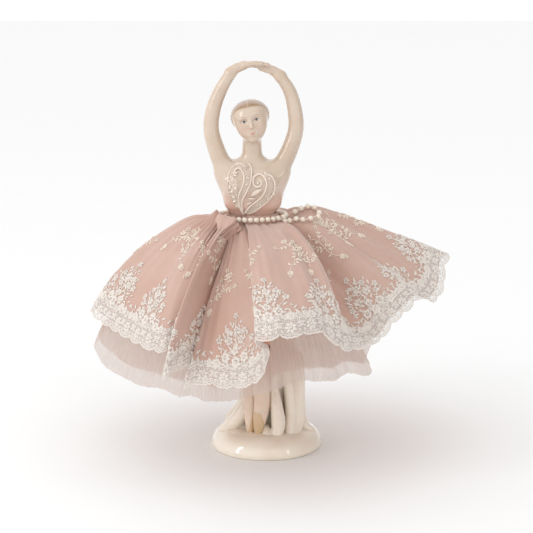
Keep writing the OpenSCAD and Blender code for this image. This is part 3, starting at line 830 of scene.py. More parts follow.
def seat_rim(points, quads, which, lap):
    """Straightens an open rim on the shoulder plane, or a little short of it."""
    at, normal = SHOULDER[which]
    edges = np.sort(np.concatenate([quads[:, [k, (k + 1) % 4]] for k in range(4)]), 1)
    edges, uses = np.unique(edges, axis=0, return_counts=True)
    rim = np.unique(edges[uses == 1])
    rim = rim[np.linalg.norm(points[rim] - at, axis=1) < 9]
    off = (points[rim] - at) @ normal
    points[rim] -= (off + lap)[:, None] * normal


def parted(clay, wanted, lap, *shoulders):
    """The wanted side of the shoulder cuts, closed there with flat ends."""
    points, quads = clay.mesh()
    points = relax(points, quads, 3)
    points, quads = keep_largest(*select(points, quads, wanted(points[quads].mean(1))))
    for which in shoulders:
        seat_rim(points, quads, which, lap)
    points, tris = cap_holes(points, quads)
    return points, quads, tris


def sculpt_torso():
    """Torso and neck, cut flat at the hip, the neck and both shoulders."""
    clay = Clay([-40, -17, 96], [26, 17, 172], VOXEL)
    body_core(clay)

    def wanted(c):
        return ~beyond_shoulder(c, "left") & ~beyond_shoulder(c, "right")
    torso = make_object("torso_sculpt", *parted(clay, wanted, 0.0, "left", "right"))
    slice_level(torso, HIP_Z + 0.1, keep_above=True)
    slice_level(torso, NECK_Z, keep_above=False)
    return finish_piece(torso, BODICE, "skin_glaze", ["torso"])


def sculpt_arm(which, box, wrist, along, side, lift, droop):
    """One arm with its hand, cut at the shoulder."""
    clay = Clay(*box, VOXEL)
    body_core(clay)
    hand(clay, wrist, along, side, lift, droop)

    def wanted(c):
        return beyond_shoulder(c, which)
    arm = make_object("arm_%s_sculpt" % which, *parted(clay, wanted, LAP, which))
    arm.data.set_sharp_from_angle(angle=CREASE)
    return finish_piece(arm, SKIN, "skin_glaze", ["arm_" + which])


def sculpt_arms():
    sculpt_arm("left", ([-40, -17, 142], [8, 17, 218]), (-16.6, -2.5, 207.4),
               (0.87, 0.0, 0.49), (0.0, -1.0, 0.0), (-0.49, 0, 0.87), 0.0235)
    # the right hand is sculpted alone, so that the hands stay two pieces
    sculpt_arm("right", ([-20, -17, 142], [26, 17, 218]), (4.8, 2.4, 205.2),
               (-0.86, 0.04, 0.5), (0.04, 1.0, 0.0), (0.5, 0, 0.86), 0.018)


def drape_folds(angle, z):
    """Shallow wandering folds round the back of the drape."""
    depth = np.interp(z, [12, 20, 60, 98], [0.055, 0.06, 0.05, 0.0])
    return 1 + depth * np.sin(6 * angle + 0.02 * z + 1.2 * np.sin(2 * angle)) \
        + 0.4 * depth * np.sin(13 * angle - 0.015 * z)


def sculpt_lower():
    """The drape, then each leg and its slipper, which are cut apart at the ankle."""
    drape = Clay([-34, -34, 4], [34, 34, 100], VOXEL * 1.5)
    drape.ovals(DRAPE_ROWS, 1.0, folds=drape_folds)
    for rows in (
            # teardrop fold beside the leg, then two more to the dancer's left
            [[3.4, -7.0, 50, 2.2], [3.9, -10.0, 36, 2.5], [5.4, -13.4, 26, 3.2],
             [6.4, -15.8, 18, 3.7], [6.0, -17.2, 12.5, 3.0], [4.6, -18.6, 10.0, 1.8]],
            [[9.5, -5.4, 52, 2.4], [11.8, -7.2, 36, 2.6], [12.9, -9.0, 24, 2.9],
             [13.0, -11.8, 15, 3.0], [12.2, -15.0, 10.2, 2.2]],
            [[15.6, -2.4, 52, 2.4], [17.0, -3.8, 36, 2.7], [17.4, -5.8, 24, 2.9],
             [16.8, -9.6, 14.5, 2.9], [14.8, -14.2, 9.6, 2.2], [11.6, -17.6, 8.2, 1.4]],
            [[18.2, 2.4, 50, 2.2], [18.6, 1.6, 34, 2.4], [18.6, -0.4, 20, 2.8],
             [20.4, -3.6, 12.4, 2.8], [24.6, -4.2, 9.2, 2.2]],
            # low swell between the toe and the teardrop
            [[-0.4, -13.6, 13, 2.6], [0.6, -17.2, 10.6, 2.6], [2.2, -19.2, 9.2, 1.6]],
            # the drape's near edge sweeping out to the dancer's right
            [[-8.6, -1.4, 44, 3.0], [-9.4, -3.4, 31, 3.6], [-12.2, -5.4, 22, 4.2],
             [-17.4, -5.6, 14.6, 4.0], [-23.0, -3.6, 9.8, 3.2]],
            [[-10.0, 5.0, 36, 3.0], [-13.0, 6.6, 22, 3.4], [-19.4, 7.6, 13.0, 3.4]],
            # folds at the back
            [[-4.0, 15.2, 60, 2.0], [-3.6, 16.0, 36, 2.4], [-5.0, 17.6, 18, 2.8],
             [-7.6, 20.6, 10.4, 2.4]],
            [[6.0, 15.4, 60, 2.0], [8.0, 15.6, 34, 2.4], [8.8, 17.4, 18, 2.8],
             [10.6, 20.0, 10.4, 2.4]]):
        drape.limb(resample(rows, 14) + [0, 0, 0, 0.2], 1.5, 0.3)

    def ground(x, y, z):
        return z - dome_height(np.sqrt(x * x + y * y)) + 0.8
    drape.carve(ground, [-34, -34, 0], [34, 34, 14], 0.4)
    obj = make_object("drape_sculpt", *modelled(drape, 2))
    finish_piece(obj, IVORY, "ivory_glaze", ["drape_column"])

    for name, rows in (("front", LEG_FRONT), ("back", LEG_BACK)):
        fine = resample(rows, 40)
        clay = Clay([-22, -24, 9], [4, 6, 100], VOXEL)
        clay.limb(fine, 0.4, 0.3)
        points, quads = clay.mesh()
        points = relax(points, quads, 2)
        for part, above, material, slot in (("leg", True, LEG, "skin_glaze"),
                                            ("slipper", False, SLIPPER, "slipper_glaze")):
            obj = make_object("%s_%s_sculpt" % (part, name), points, quads)
            slice_level(obj, SLIPPER_Z + (0 if above else LAP), keep_above=above)
            finish_piece(obj, material, slot, ["%s_%s" % (part, name)])


# distance from the middle and height of the base's top
DOME = [[0, 12.6], [10, 12.5], [17, 12.1], [22, 11.4], [25.5, 10.0], [28, 7.9],
        [29.6, 5.6], [30.4, 3.4]]


def dome_height(r):
    """Height of the base's top at a distance from the middle."""
    rows = np.array(DOME)
    return np.interp(r, rows[:, 0], rows[:, 1], right=-6.0)


def make_base():
    """The domed base, a turned shell with a soft rim and slightly uneven hand."""
    dome = resample(DOME, 34)
    rim = resample([[30.4, 3.4], [30.5, 2.2], [30.0, 0.9], [29.0, 0.15], [28.2, 0.0]], 12)
    under = np.array([[26.0, 0.0], [20, 0.0], [10, 0.0]])
    profile = np.concatenate([dome[1:], rim[1:], under])
    sides = 192
    a = np.linspace(0, 2 * math.pi, sides, endpoint=False)
    uneven = 1 + 0.004 * np.sin(2 * a + 0.5) + 0.003 * np.sin(5 * a)
    r = profile[:, 0][None, :] * uneven[:, None]
    z = np.repeat(profile[None, :, 1], sides, 0)
    lift = 0.18 * np.sin(3 * a + 1)[:, None] * np.interp(z, [4, 9, 13], [0, 1, 0])
    grid = np.stack([r * np.cos(a)[:, None], r * np.sin(a)[:, None], z + lift], -1)
    n, m = grid.shape[:2]
    verts = np.concatenate([grid.reshape(-1, 3), [[0, 0, DOME[0][1]], [0, 0, 0]]])
    top, low = np.full(n, n * m), np.full(n, n * m + 1)
    first = np.arange(n) * m
    following = np.roll(first, -1)
    fan_top = np.stack([top, first, following], -1)
    fan_low = np.stack([low, following + m - 1, first + m - 1], -1)
    obj = make_object("base_sculpt", verts, lattice(n, m), np.concatenate([fan_top, fan_low]))
    # the casting hole under the base
    bpy.ops.mesh.primitive_cylinder_add(vertices=40, radius=3 * MM, depth=5 * MM,
                                        location=(0, 14 * MM, 0))
    cutter = bpy.context.object
    cut = obj.modifiers.new("casting_hole", "BOOLEAN")
    cut.operation, cut.solver, cut.object = "DIFFERENCE", "EXACT", cutter
    apply_modifiers(obj)
    bpy.data.objects.remove(cutter)
    return finish_piece(obj, IVORY, "ivory_glaze", ["base"])


def apply_modifiers(obj):
    """Makes an object's modifiers part of its mesh."""
    graph = bpy.context.evaluated_depsgraph_get()
    mesh = bpy.data.meshes.new_from_object(obj.evaluated_get(graph))
    obj.modifiers.clear()
    obj.data = mesh


SLIPPER = slipper_paint()


# ---------------------------------------------------------------- the cloth surfaces

WAIST_Z, WAIST_RX, WAIST_RY, HEADING = 127.0, 16.0, 12.8, 3.2
# hem x, y and z, the azimuth at the waist, how bell-like it falls, how far it puffs up
SKIRT_RIBS = [
    [-8, 92, 76, -180, 0.4, 6], [-30, 80, 70, -166, 0.25, 5],
    [-52, 80, 77, -152, 0.45, 7], [-64, 60, 70, -138, 0.25, 5],
    [-84, 48, 76, -124, 0.45, 7], [-86, 28, 71, -110, 0.4, 7],
    [-96, 8, 74, -96, 0.5, 9], [-90, -9, 72, -86, 0.5, 8],
    [-80, -28, 71, -78, 0.45, 6], [-67, -51, 70, -69, 0.45, 5],
    [-56, -65, 69, -60, 0.5, 5], [-50, -65, 71, -55, 0.4, 4],
    [-48, -58, 72, -50, 0.2, 2], [-52, -79, 59, -42, 0.55, 5],
    [-46, -71, 61, -37, 0.35, 4], [-39, -58, 60, -34, 0.1, 1],
    [-42, -66, 51, -31, 0.15, 0], [-34, -68, 53, -28, 0.25, 0],
    [-20, -75, 53, -24, 0.35, 0], [-7, -84, 57, -20, 0.45, 2],
    [-1, -89, 65, -17, 0.45, 3], [1, -88, 75, -15, 0.4, 3],
    [-5, -97, 82, -13, 0.55, 4], [4, -101, 85, -3, 0.6, 3],
    [16, -99, 86, 14, 0.6, 3], [26, -92, 86, 32, 0.6, 4],
    [33, -89, 80, 46, 0.55, 6], [39, -84, 75, 56, 0.5, 6],
    [46, -74, 73, 63, 0.2, 4], [52, -68, 73, 68, 0.05, 3],
    [60, -58, 75, 73, 0, 3], [66, -48, 80, 78, 0, 4],
    [74, -36, 84, 83, 0.15, 7], [82, -24, 88, 89, 0.2, 9],
    [90, -14, 84, 95, 0.2, 10], [96, -2, 89, 101, 0.15, 11],
    [98, 10, 98, 107, 0.1, 12], [101, 22, 102, 113, 0.1, 13],
    [93, 34, 97, 122, 0.2, 11], [80, 46, 91, 132, 0.2, 8],
    [75, 62, 93, 142, 0.3, 10], [57, 68, 85, 151, 0.2, 7],
    [43, 84, 87, 161, 0.4, 8], [18, 82, 78, 171, 0.25, 5]]
TULLE_RIBS = [
    [-8, 76, 60, -180, 0.4, 3], [-36, 70, 59, -156, 0.4, 3],
    [-62, 56, 58, -134, 0.4, 3], [-84, 32, 57, -112, 0.45, 4],
    [-93, 10, 57, -96, 0.5, 5], [-92, -9, 55, -84, 0.5, 4],
    [-78, -29, 50, -72, 0.45, 3], [-61, -43, 48, -62, 0.4, 2],
    [-47, -49, 46, -52, 0.3, 1], [-36, -54, 45, -40, 0.15, 0],
    [-26, -60, 45, -30, 0.2, 0], [-10, -68, 49, -14, 0.3, 0],
    [6, -69, 52, 4, 0.35, 0], [22, -62, 54, 22, 0.35, 0],
    [33, -54, 51, 38, 0.3, 0], [42, -44, 52, 50, 0.2, 0],
    [56, -22, 47, 70, 0.1, 0], [54, -8, 51, 84, 0.2, 0],
    [58, 12, 55, 102, 0.3, 1], [52, 36, 57, 124, 0.3, 2],
    [38, 56, 60, 144, 0.3, 3], [16, 70, 62, 162, 0.4, 3]]


def rib_at(table, s):
    """A rib of a skirt at any place round the waist (s counts ribs)."""
    table = np.asarray(table, float)
    n = len(table)
    i = np.floor(s).astype(int)
    f = (s - i)[..., None]
    a, b, c, d = (table[(i + k) % n].copy() for k in (-1, 0, 1, 2))
    for p in (a, c, d):
        p[..., 3] = b[..., 3] + (p[..., 3] - b[..., 3] + 180) % 360 - 180
    return 0.5 * (2 * b + (c - a) * f + (2 * a - 5 * b + 4 * c - d) * f ** 2
                  + (3 * b - 3 * c + d - a) * f ** 3)


def cloth(table, s, t, inset=0.0):
    """Points of the cloth; t is -1 at the frill, 0 at the belt, 1 at the hem."""
    r = rib_at(table, s)
    az, bell = np.radians(r[..., 3]), r[..., 4]
    wx = BODY_X + (WAIST_RX - inset) * np.sin(az)
    wy = -(WAIST_RY - inset) * np.cos(az)
    down = np.maximum(t, 0)
    out = (1 - bell) * down + bell * np.sin(np.pi / 2 * down)
    fall = (1 - bell) * down + bell * (1 - np.cos(np.pi / 2 * down))
    puff = r[..., 5] * (1 - down) * (1 - np.exp(-(down / 0.12) ** 2))
    z = WAIST_Z + (r[..., 2] - WAIST_Z) * fall + puff - HEADING * np.minimum(t, 0)
    return np.stack([wx + (r[..., 0] - wx) * out, wy + (r[..., 1] - wy) * out, z], -1)


def close_frill(grid, t):
    """Draws the gathered heading in, so that it hugs the porcelain waist."""
    pull = np.clip(-1.3 * t, 0, 1)[None, :]
    grid = grid.copy()
    grid[..., 0] = BODY_X + (grid[..., 0] - BODY_X) * (1 - 0.175 * pull)
    grid[..., 1] = grid[..., 1] * (1 - 0.22 * pull)
    return grid


class Drape:
    """A dense grid of one cloth layer, with its normals and lengths both ways."""

    def __init__(self, table, around, steps, inset=0.0, ripple=None):
        self.n, self.t = around, np.asarray(steps, float)
        self.window = int(1.2 * around / len(table))
        self.s = np.arange(around) * len(table) / around
        grid = cloth(table, self.s[:, None] + 0 * self.t[None, :], self.t[None, :], inset)
        if inset == 0.0:
            grid = close_frill(grid, self.t)
        self.p = grid
        self.measure()
        if ripple is not None:
            self.p = grid + self.normal * ripple(self.s, self.t)[..., None]
            self.measure()

    def measure(self):
        """Normals, and lengths down and round the cloth."""
        p = self.p
        du = np.roll(p, -1, 0) - np.roll(p, 1, 0)
        dt = np.gradient(p, axis=1)
        self.normal = unit(np.cross(dt, du))
        along = np.linalg.norm(np.diff(p, axis=1), axis=2)
        self.down = np.concatenate([np.zeros((self.n, 1)), np.cumsum(along, 1)], 1)
        step = np.linalg.norm(np.roll(p, -1, 0) - p, axis=2)
        self.round = np.concatenate([np.zeros((1, len(self.t))), np.cumsum(step, 0)], 0)

    def sample(self, values, u, k):
        """Bilinear reading of a grid at fractional column u and row k."""
        i = np.floor(u).astype(int)
        f = u - i
        k = np.clip(k, 0, len(self.t) - 1.001)
        j = np.floor(k).astype(int)
        g = k - j
        if values.ndim == 3:
            f, g = f[..., None], g[..., None]
        a, b = i % self.n, (i + 1) % self.n
        return ((values[a, j] * (1 - f) + values[b, j] * f) * (1 - g)
                + (values[a, j + 1] * (1 - f) + values[b, j + 1] * f) * g)

    def at(self, column):
        """The laying function of one column, for Stitching.laid."""
        return lambda flat: self.place(column, flat)

    def place(self, u0, flat):
        """Lays flat work (along the hem, up from the hem, height) on the cloth."""
        flat = np.asarray(flat, float)
        column = self.down[int(round(u0)) % self.n]
        k = np.interp(column[-1] - flat[:, 1], column, np.arange(len(self.t)))
        k = np.clip(k, 0, len(self.t) - 1.001)
        j = np.floor(k).astype(int)
        g = k - j
        u = np.zeros(len(flat))
        for row in np.unique(j):
            here = j == row
            upper = self.along(row, u0, flat[here, 0])
            lower = self.along(row + 1, u0, flat[here, 0])
            u[here] = upper * (1 - g[here]) + lower * g[here]
        point = self.sample(self.p, u, k)
        normal = unit(self.sample(self.normal, u, k))
        return point + normal * flat[:, 2:3]

    def along(self, row, u0, distance):
        """The column at a distance along one row from column u0."""
        arc, turn = self.round[:, row], self.round[-1, row]
        table = np.concatenate([arc[:-1] - turn, arc[:-1], arc + turn])
        columns = np.arange(-self.n, 2 * self.n + 1)
        start = np.interp(u0, columns, table)
        return np.interp(start + distance, table, columns)

    def fold_shade(self):
        """How deep each point lies in a fold: 0 on the crests, 1 in the valleys. It sets the
        painted shade that darkens the pink cloth in its folds.
        """
        reach = np.hypot(self.p[..., 0] - BODY_X, self.p[..., 1])
        span = self.window
        ring = np.concatenate([reach[-span:], reach, reach[:span]])
        level = np.ones(2 * span + 1) / (2 * span + 1)
        mean = np.stack([np.convolve(column, level, "valid") for column in ring.T], 1)
        return np.clip((mean - reach) / 6.0, 0, 1)

    def sheet(self, name, rows=None, lift=0.0):
        """The layer as a mesh. Its weave attribute is flat millimetres and the fold depth that
        sets the painted fold shade.
        """
        rows = slice(None) if rows is None else rows
        p = (self.p + self.normal * lift)[:, rows]
        n, m = p.shape[:2]
        across = np.linspace(0, self.round[-1, -1], self.n, endpoint=False)
        weave = np.stack([np.repeat(across[:, None], m, 1), self.down[:, rows],
                          self.fold_shade()[:, rows]], -1)
        return make_object(name, p.reshape(-1, 3), lattice(n, m), None,
                           {"weave": weave.reshape(-1, 3)})

    def size(self, rows=None):
        """Flat width and length of the cut in metres, and its area."""
        rows = slice(None) if rows is None else rows
        p = self.p[:, rows]
        width = max(np.linalg.norm(np.roll(p, -1, 0) - p, axis=2).sum(0))
        length = np.linalg.norm(np.diff(p, axis=1), axis=2).sum(1).max()
        return width * MM, length * MM, grid_area(p) * MM * MM


def waves(s, count, ribs, seed, parts=4):
    """A smooth random ripple round the waist, in about count waves."""
    rng = np.random.default_rng(seed)
    angle = 2 * np.pi * s / ribs
    total = np.zeros_like(s)
    for _ in range(parts):
        k = int(round(count * rng.uniform(0.7, 1.35)))
        total += rng.uniform(0.5, 1.0) * np.sin(k * angle + rng.uniform(0, 6.28))
    return total / parts


def skirt_ripple(s, t):
    """Gathers at the waist that fade out, and soft handling creases lower down."""
    ribs = len(SKIRT_RIBS)
    down = np.maximum(t, 0)[None, :]
    s2 = s[:, None]

    def between(a, b):
        return 1 / (1 + np.exp(-2.5 * (s2 - a))) / (1 + np.exp(2.5 * (s2 - b)))
    # under the waist the picture's right lies calm, its left is rolled and crushed
    calm = 1 - 0.75 * between(27, 37) * np.exp(-(down / 0.26) ** 4)
    gather = calm * (1.2 * waves(s, 58, ribs, 3)[:, None] - 0.4) * np.exp(-down / 0.16)
    roll = 6.5 * between(7.8, 16.6) * np.exp(-((down - 0.075) / 0.045) ** 2)
    crush = between(5.5, 20.5) * (0.4 + down / 0.2) * np.exp(-(down / 0.22) ** 2)
    roll += 2.4 * waves(s, 62, ribs, 14)[:, None] * crush
    # the deep fold on the picture's right, a crest before it and a shallow valley after
    bow = np.sin(np.pi * np.clip(down, 0, 1))
    fold = -11.0 * np.exp(-((s2 - 29.6) / 1.25) ** 2) * bow
    fold += 3.5 * np.exp(-((s2 - 27.0) / 1.0) ** 2) * bow
    fold -= 2.5 * np.exp(-((s2 - 33.6) / 0.8) ** 2) * bow
    soft = 1.5 * waves(s, 21, ribs, 5)[:, None] * bow ** 2
    fine = 0.35 * waves(s, 75, ribs, 8)[:, None] * np.clip(down * 2, 0, 1)
    hem = 0.8 * waves(s, 40, ribs, 9)[:, None] * np.clip((down - 0.6) / 0.4, 0, 1) ** 2
    return gather + roll + fold + soft + fine + hem


def tulle_ripple(seed, depth):
    """Fine pleats that open out towards the hem."""
    def ripple(s, t):
        ribs = len(TULLE_RIBS)
        down = np.maximum(t, 0)[None, :]
        pleat = waves(s, 46, ribs, seed, 3) + 0.6 * waves(s, 90, ribs, seed + 1, 3)
        pleat = pleat[:, None]
        drift = waves(s, 17, ribs, seed + 2, 3)[:, None]
        return depth * (0.5 * pleat * down ** 0.8 + 1.5 * drift * down ** 1.5)
    return ripple


def make_cloth():
    """The overskirt, its lining and the two tulle layers under it."""
    fine = 1.0
    around = int(len(SKIRT_RIBS) * 20 * fine)
    down = np.concatenate([[-1, -0.6, -0.2], np.linspace(0, 0.3, int(22 * fine))[:-1],
                           np.linspace(0.3, 1, int(46 * fine))])
    outer = Drape(SKIRT_RIBS, around, down, 0.0, skirt_ripple)
    rows = slice(0, int(np.searchsorted(down, 0.966)))
    skirt = outer.sheet("overskirt_cloth", rows)
    finish_piece(skirt, pink_cloth(), "pink_cloth", ["overskirt"])
    width, length, area = outer.size(rows)

    rows = slice(int(np.searchsorted(down, 0.25)), int(np.searchsorted(down, 0.96)))
    lining = outer.sheet("skirt_lining_cloth", rows, lift=-0.7)
    finish_piece(lining, peach_lining(), "peach_lining", ["skirt_lining"])
    width, length, area = outer.size(rows)

    ribs = len(TULLE_RIBS)
    steps = np.concatenate([[-0.4], np.linspace(0, 1, int(40 * fine))])
    for name, inset, seed, hem in (("petticoat_outer", 1.8, 20, 1.0),
                                   ("petticoat_inner", 2.8, 30, 0.93)):
        layer = Drape(TULLE_RIBS, int(ribs * 40 * fine), steps * np.where(steps > 0, hem, 1),
                      inset, tulle_ripple(seed, 0.85))
        ragged = 0.4 * waves(layer.s, 70, ribs, seed + 5)
        ragged += 1.6 * waves(layer.s, 15, ribs, seed + 6)
        layer.p[:, :, 2] += ragged[:, None] * np.clip(layer.t, 0, 1)[None, :] ** 4
        near = np.clip((8 - layer.p[..., 0]) / 20, 0, 1) * np.clip(-layer.p[..., 1] / 25, 0, 1)
        layer.p[:, :, 2] -= 3.0 * near * np.clip(layer.t, 0, 1)[None, :] ** 2
        layer.measure()
        veil = layer.sheet(name + "_tulle")
        finish_piece(veil, TULLE, "tulle", [name])
        width, length, area = layer.size()
    return outer


# ---------------------------------------------------------------- cloth materials

def thread_lines(s, weave, per_mm):
    """Warp and weft as two crossed sine ridges."""
    x, y, _ = s.split(weave)
    warp = s.math("SINE", s.mul(x, per_mm * 2 * math.pi))
    weft = s.math("SINE", s.mul(y, per_mm * 2 * math.pi))
    return s.add(s.mul(warp, 0.5), s.mul(weft, 0.5))


def net_cells(s, weave, cell, uneven=0.15, thick=0.16, thin=0.04):
    """Hexagon-like net: how near a point is to a thread of the net, 0 to 1."""
    n = s.node("ShaderNodeTexVoronoi", feature="DISTANCE_TO_EDGE")
    s.feed(n.inputs["Vector"], weave)
    n.inputs["Scale"].default_value = 1.0 / cell
    n.inputs["Randomness"].default_value = uneven
    return s.smooth_step(n.outputs["Distance"], thick, thin)


def pink_cloth():
    """Dusty pink cloth with a fine cream net over it, painted darker and warmer in its folds as
    painted shade.
    """
    s = Shader("pink_cloth")
    weave = s.place("weave")
    lines = thread_lines(s, weave, 2.6)
    net = net_cells(s, weave, 0.85)
    cloud = s.noise(weave, 0.05, 4.0, 0.6)
    slub = s.noise(s.scaled(weave, (2.2, 0.25, 1.0)), 1.2, 3.0, 0.6)
    pink = s.mix(s.smooth_step(cloud, 0.3, 0.7), (0.56, 0.355, 0.285), (0.61, 0.405, 0.335))
    pink = s.mix(s.mul(slub, 0.22), pink, (0.50, 0.29, 0.225))
    colour = s.mix(s.mul(net, 0.42), pink, (0.74, 0.625, 0.55))
    # painted shade: the fold valleys are painted a darker, warmer pink that stands in for shade
    # and light bounced between the folds
    fold_shade = s.split(weave)[2]
    colour = s.mix(s.mul(fold_shade, 0.8), colour, (0.55, 0.275, 0.195))
    height = s.add(s.mul(lines, 0.25), net)
    normal = s.bump(height, 0.35, 0.00012, s.bump(cloud, 0.2, 0.0012))
    shader = s.surface(colour, s.add(0.72, s.mul(net, 0.1)), normal,
                       Sheen_Weight=0.35, Sheen_Roughness=0.45, Specular_IOR_Level=0.25)
    return s.done(shader)


def peach_lining():
    """Smooth peach lining cloth."""
    s = Shader("peach_lining")
    weave = s.place("weave")
    lines = thread_lines(s, weave, 3.2)
    slub = s.noise(s.scaled(weave, (0.3, 3.0, 1.0)), 0.8, 3.0, 0.55)
    colour = s.mix(slub, (0.70, 0.36, 0.235), (0.80, 0.47, 0.33))
    normal = s.bump(s.add(lines, slub), 0.25, 0.0001)
    return s.done(s.surface(colour, s.add(0.42, s.mul(slub, 0.2)), normal,
                            Sheen_Weight=0.3, Sheen_Roughness=0.4))


def tulle_net():
    """Sheer net: pale streaks where the pleats stack up, clearer between them."""
    s = Shader("tulle_net")
    weave = s.place("weave")
    streak = s.noise(s.scaled(weave, (1.0, 0.05, 0.2)), 0.3, 3.0, 0.55)
    fine = s.noise(s.scaled(weave, (1.0, 0.12, 0.2)), 1.2, 3.0, 0.5)
    net = net_cells(s, weave, 0.6)
    body = s.add(s.mul(s.smooth_step(streak, 0.3, 0.75), 0.6), s.mul(fine, 0.4))
    colour = s.mix(body, (0.80, 0.695, 0.645), (0.88, 0.79, 0.735))
    cover = s.add(0.5, s.add(s.mul(body, 0.3), s.mul(net, 0.1)))
    normal = s.bump(s.add(body, s.mul(net, 0.3)), 0.2, 0.0002)
    threads = s.surface(colour, 0.85, normal, Sheen_Weight=0.2, Specular_IOR_Level=0.15)
    glow = s.node("ShaderNodeBsdfTranslucent")
    s.feed(glow.inputs["Color"], colour)
    both = s.node("ShaderNodeMixShader")
    both.inputs[0].default_value = 0.7
    s.feed(both.inputs[1], threads)
    s.feed(both.inputs[2], glow.outputs[0])
    return s.veiled(cover, both.outputs[0])


TULLE = tulle_net()


# ---------------------------------------------------------------- embroidery

SEAT = 0.05       # a thread's underside stands this far off the cloth


class Stitching:
    """Raised thread work. It is drawn flat and then laid on the cloth in one go."""

    def __init__(self):
        self.pile, self.flat, self.pieces = Pile(), [], []

    def cord(self, path, width, height=None, closed=False, sides=6):
        """A flat-bottomed thread along a path; width may change along it."""
        path = np.asarray(path, float)
        n = len(path)
        width = np.broadcast_to(np.asarray(width, float), (n,))
        height = width if height is None else np.broadcast_to(np.asarray(height, float), (n,))
        if closed:
            run = np.roll(path, -1, 0) - np.roll(path, 1, 0)
        else:
            run = np.gradient(path, axis=0)
        run = run / np.maximum(np.linalg.norm(run, axis=1, keepdims=True), 1e-6)
        side = np.stack([-run[:, 1], run[:, 0]], 1)
        turn = 2 * np.pi * np.arange(sides) / sides
        across = np.cos(turn)[None, :] * width[:, None]
        up = np.sin(turn)[None, :]
        up = np.where(up > 0, up, 0.3 * up) * height[:, None] + 0.3 * height[:, None] + SEAT
        xy = path[:, None, :] + side[:, None, :] * across[..., None]
        verts = np.concatenate([xy, up[..., None]], -1).reshape(-1, 3)
        quads = lattice(n, sides, tube=True, loop=closed)
        last = (n - 1) * sides
        tris = [] if closed else [[0, q + 1, q] for q in range(1, sides - 1)] \
            + [[last, last + q, last + q + 1] for q in range(1, sides - 1)]
        self.pieces.append((verts, quads, np.array(tris, int).reshape(-1, 3)))

    def petal(self, start, tip, width, height=0.5, steps=5):
        """A padded satin-stitch petal or leaf between two points."""
        start, tip = np.asarray(start, float), np.asarray(tip, float)
        f = np.linspace(0.02, 0.98, steps)
        swell = np.sin(np.pi * f ** 0.8) ** 0.7
        self.cord(start + (tip - start) * f[:, None], np.maximum(width * swell, 0.08),
                  np.maximum(height * swell, 0.08))

    def ring(self, centre, radius, width):
        """A closed round of thread."""
        a = 2 * np.pi * np.arange(10) / 10
        path = np.stack([centre[0] + radius * np.cos(a), centre[1] + radius * np.sin(a)], 1)
        self.cord(path, width, closed=True, sides=5)

    def knot(self, centre, radius):
        """A small raised knot."""
        x, y = centre
        self.cord([[x - radius, y], [x - radius * 0.5, y], [x + radius * 0.5, y], [x + radius, y]],
                  [0.2 * radius, 0.9 * radius, 0.9 * radius, 0.2 * radius])

    def flower(self, centre, radius, petals, turn, plump=0.36):
        """A ring of petals round a knot; plump is how wide a petal is for its length."""
        centre = np.asarray(centre, float)
        for k in range(petals):
            way = heading(turn + 2 * np.pi * k / petals)
            self.petal(centre + way * radius * 0.28, centre + way * radius, radius * plump)
        self.knot(centre, radius * 0.24)

    def sprig(self, start, angle, length, bend, flower):
        """A little branch: a bent stem, two pairs of leaves and a flower at its tip."""
        f = np.linspace(0, 1, 9)
        a = angle + bend * (f - 0.3)
        step = np.stack([np.cos(a), np.sin(a)], 1) * length / 8
        path = np.asarray(start, float) + np.concatenate([[[0, 0]], np.cumsum(step[1:], 0)])
        self.cord(path, 0.2)
        for i, share in ((2, 1.25), (4, 1.13)):
            size = flower * share
            for side in (-1, 1):
                tip = path[i] + size * 1.25 * heading(a[i] + side * 0.85)
                self.petal(path[i], tip, size * 0.3, 0.42)
        self.flower(path[-1], flower, 5, angle)

    def laid(self, place):
        """Lays everything drawn so far with a function from flat to space."""
        flat = np.concatenate([piece[0] for piece in self.pieces])
        verts, start = place(flat), 0
        for drawn, quads, tris in self.pieces:
            self.pile.add(verts[start:start + len(drawn)], quads, tris)
            start += len(drawn)
        self.flat.append(flat)
        self.pieces = []

    def finish(self, name, material, slot, replaced=()):
        """Makes one piece of all that was laid."""
        flat = np.concatenate(self.flat)
        obj = make_object(name, *self.pile.arrays(), {"weave": flat})
        finish_piece(obj, material, slot, replaced)


def lobe_edge(phase):
    """Height of the lace edge above the hem across one scallop."""
    arch = np.sqrt(np.clip(1 - (2 * phase - 1) ** 2, 0, 1))
    return 4.0 - 3.4 * arch ** 0.8 - 0.55 * np.abs(np.sin(5 * np.pi * phase))


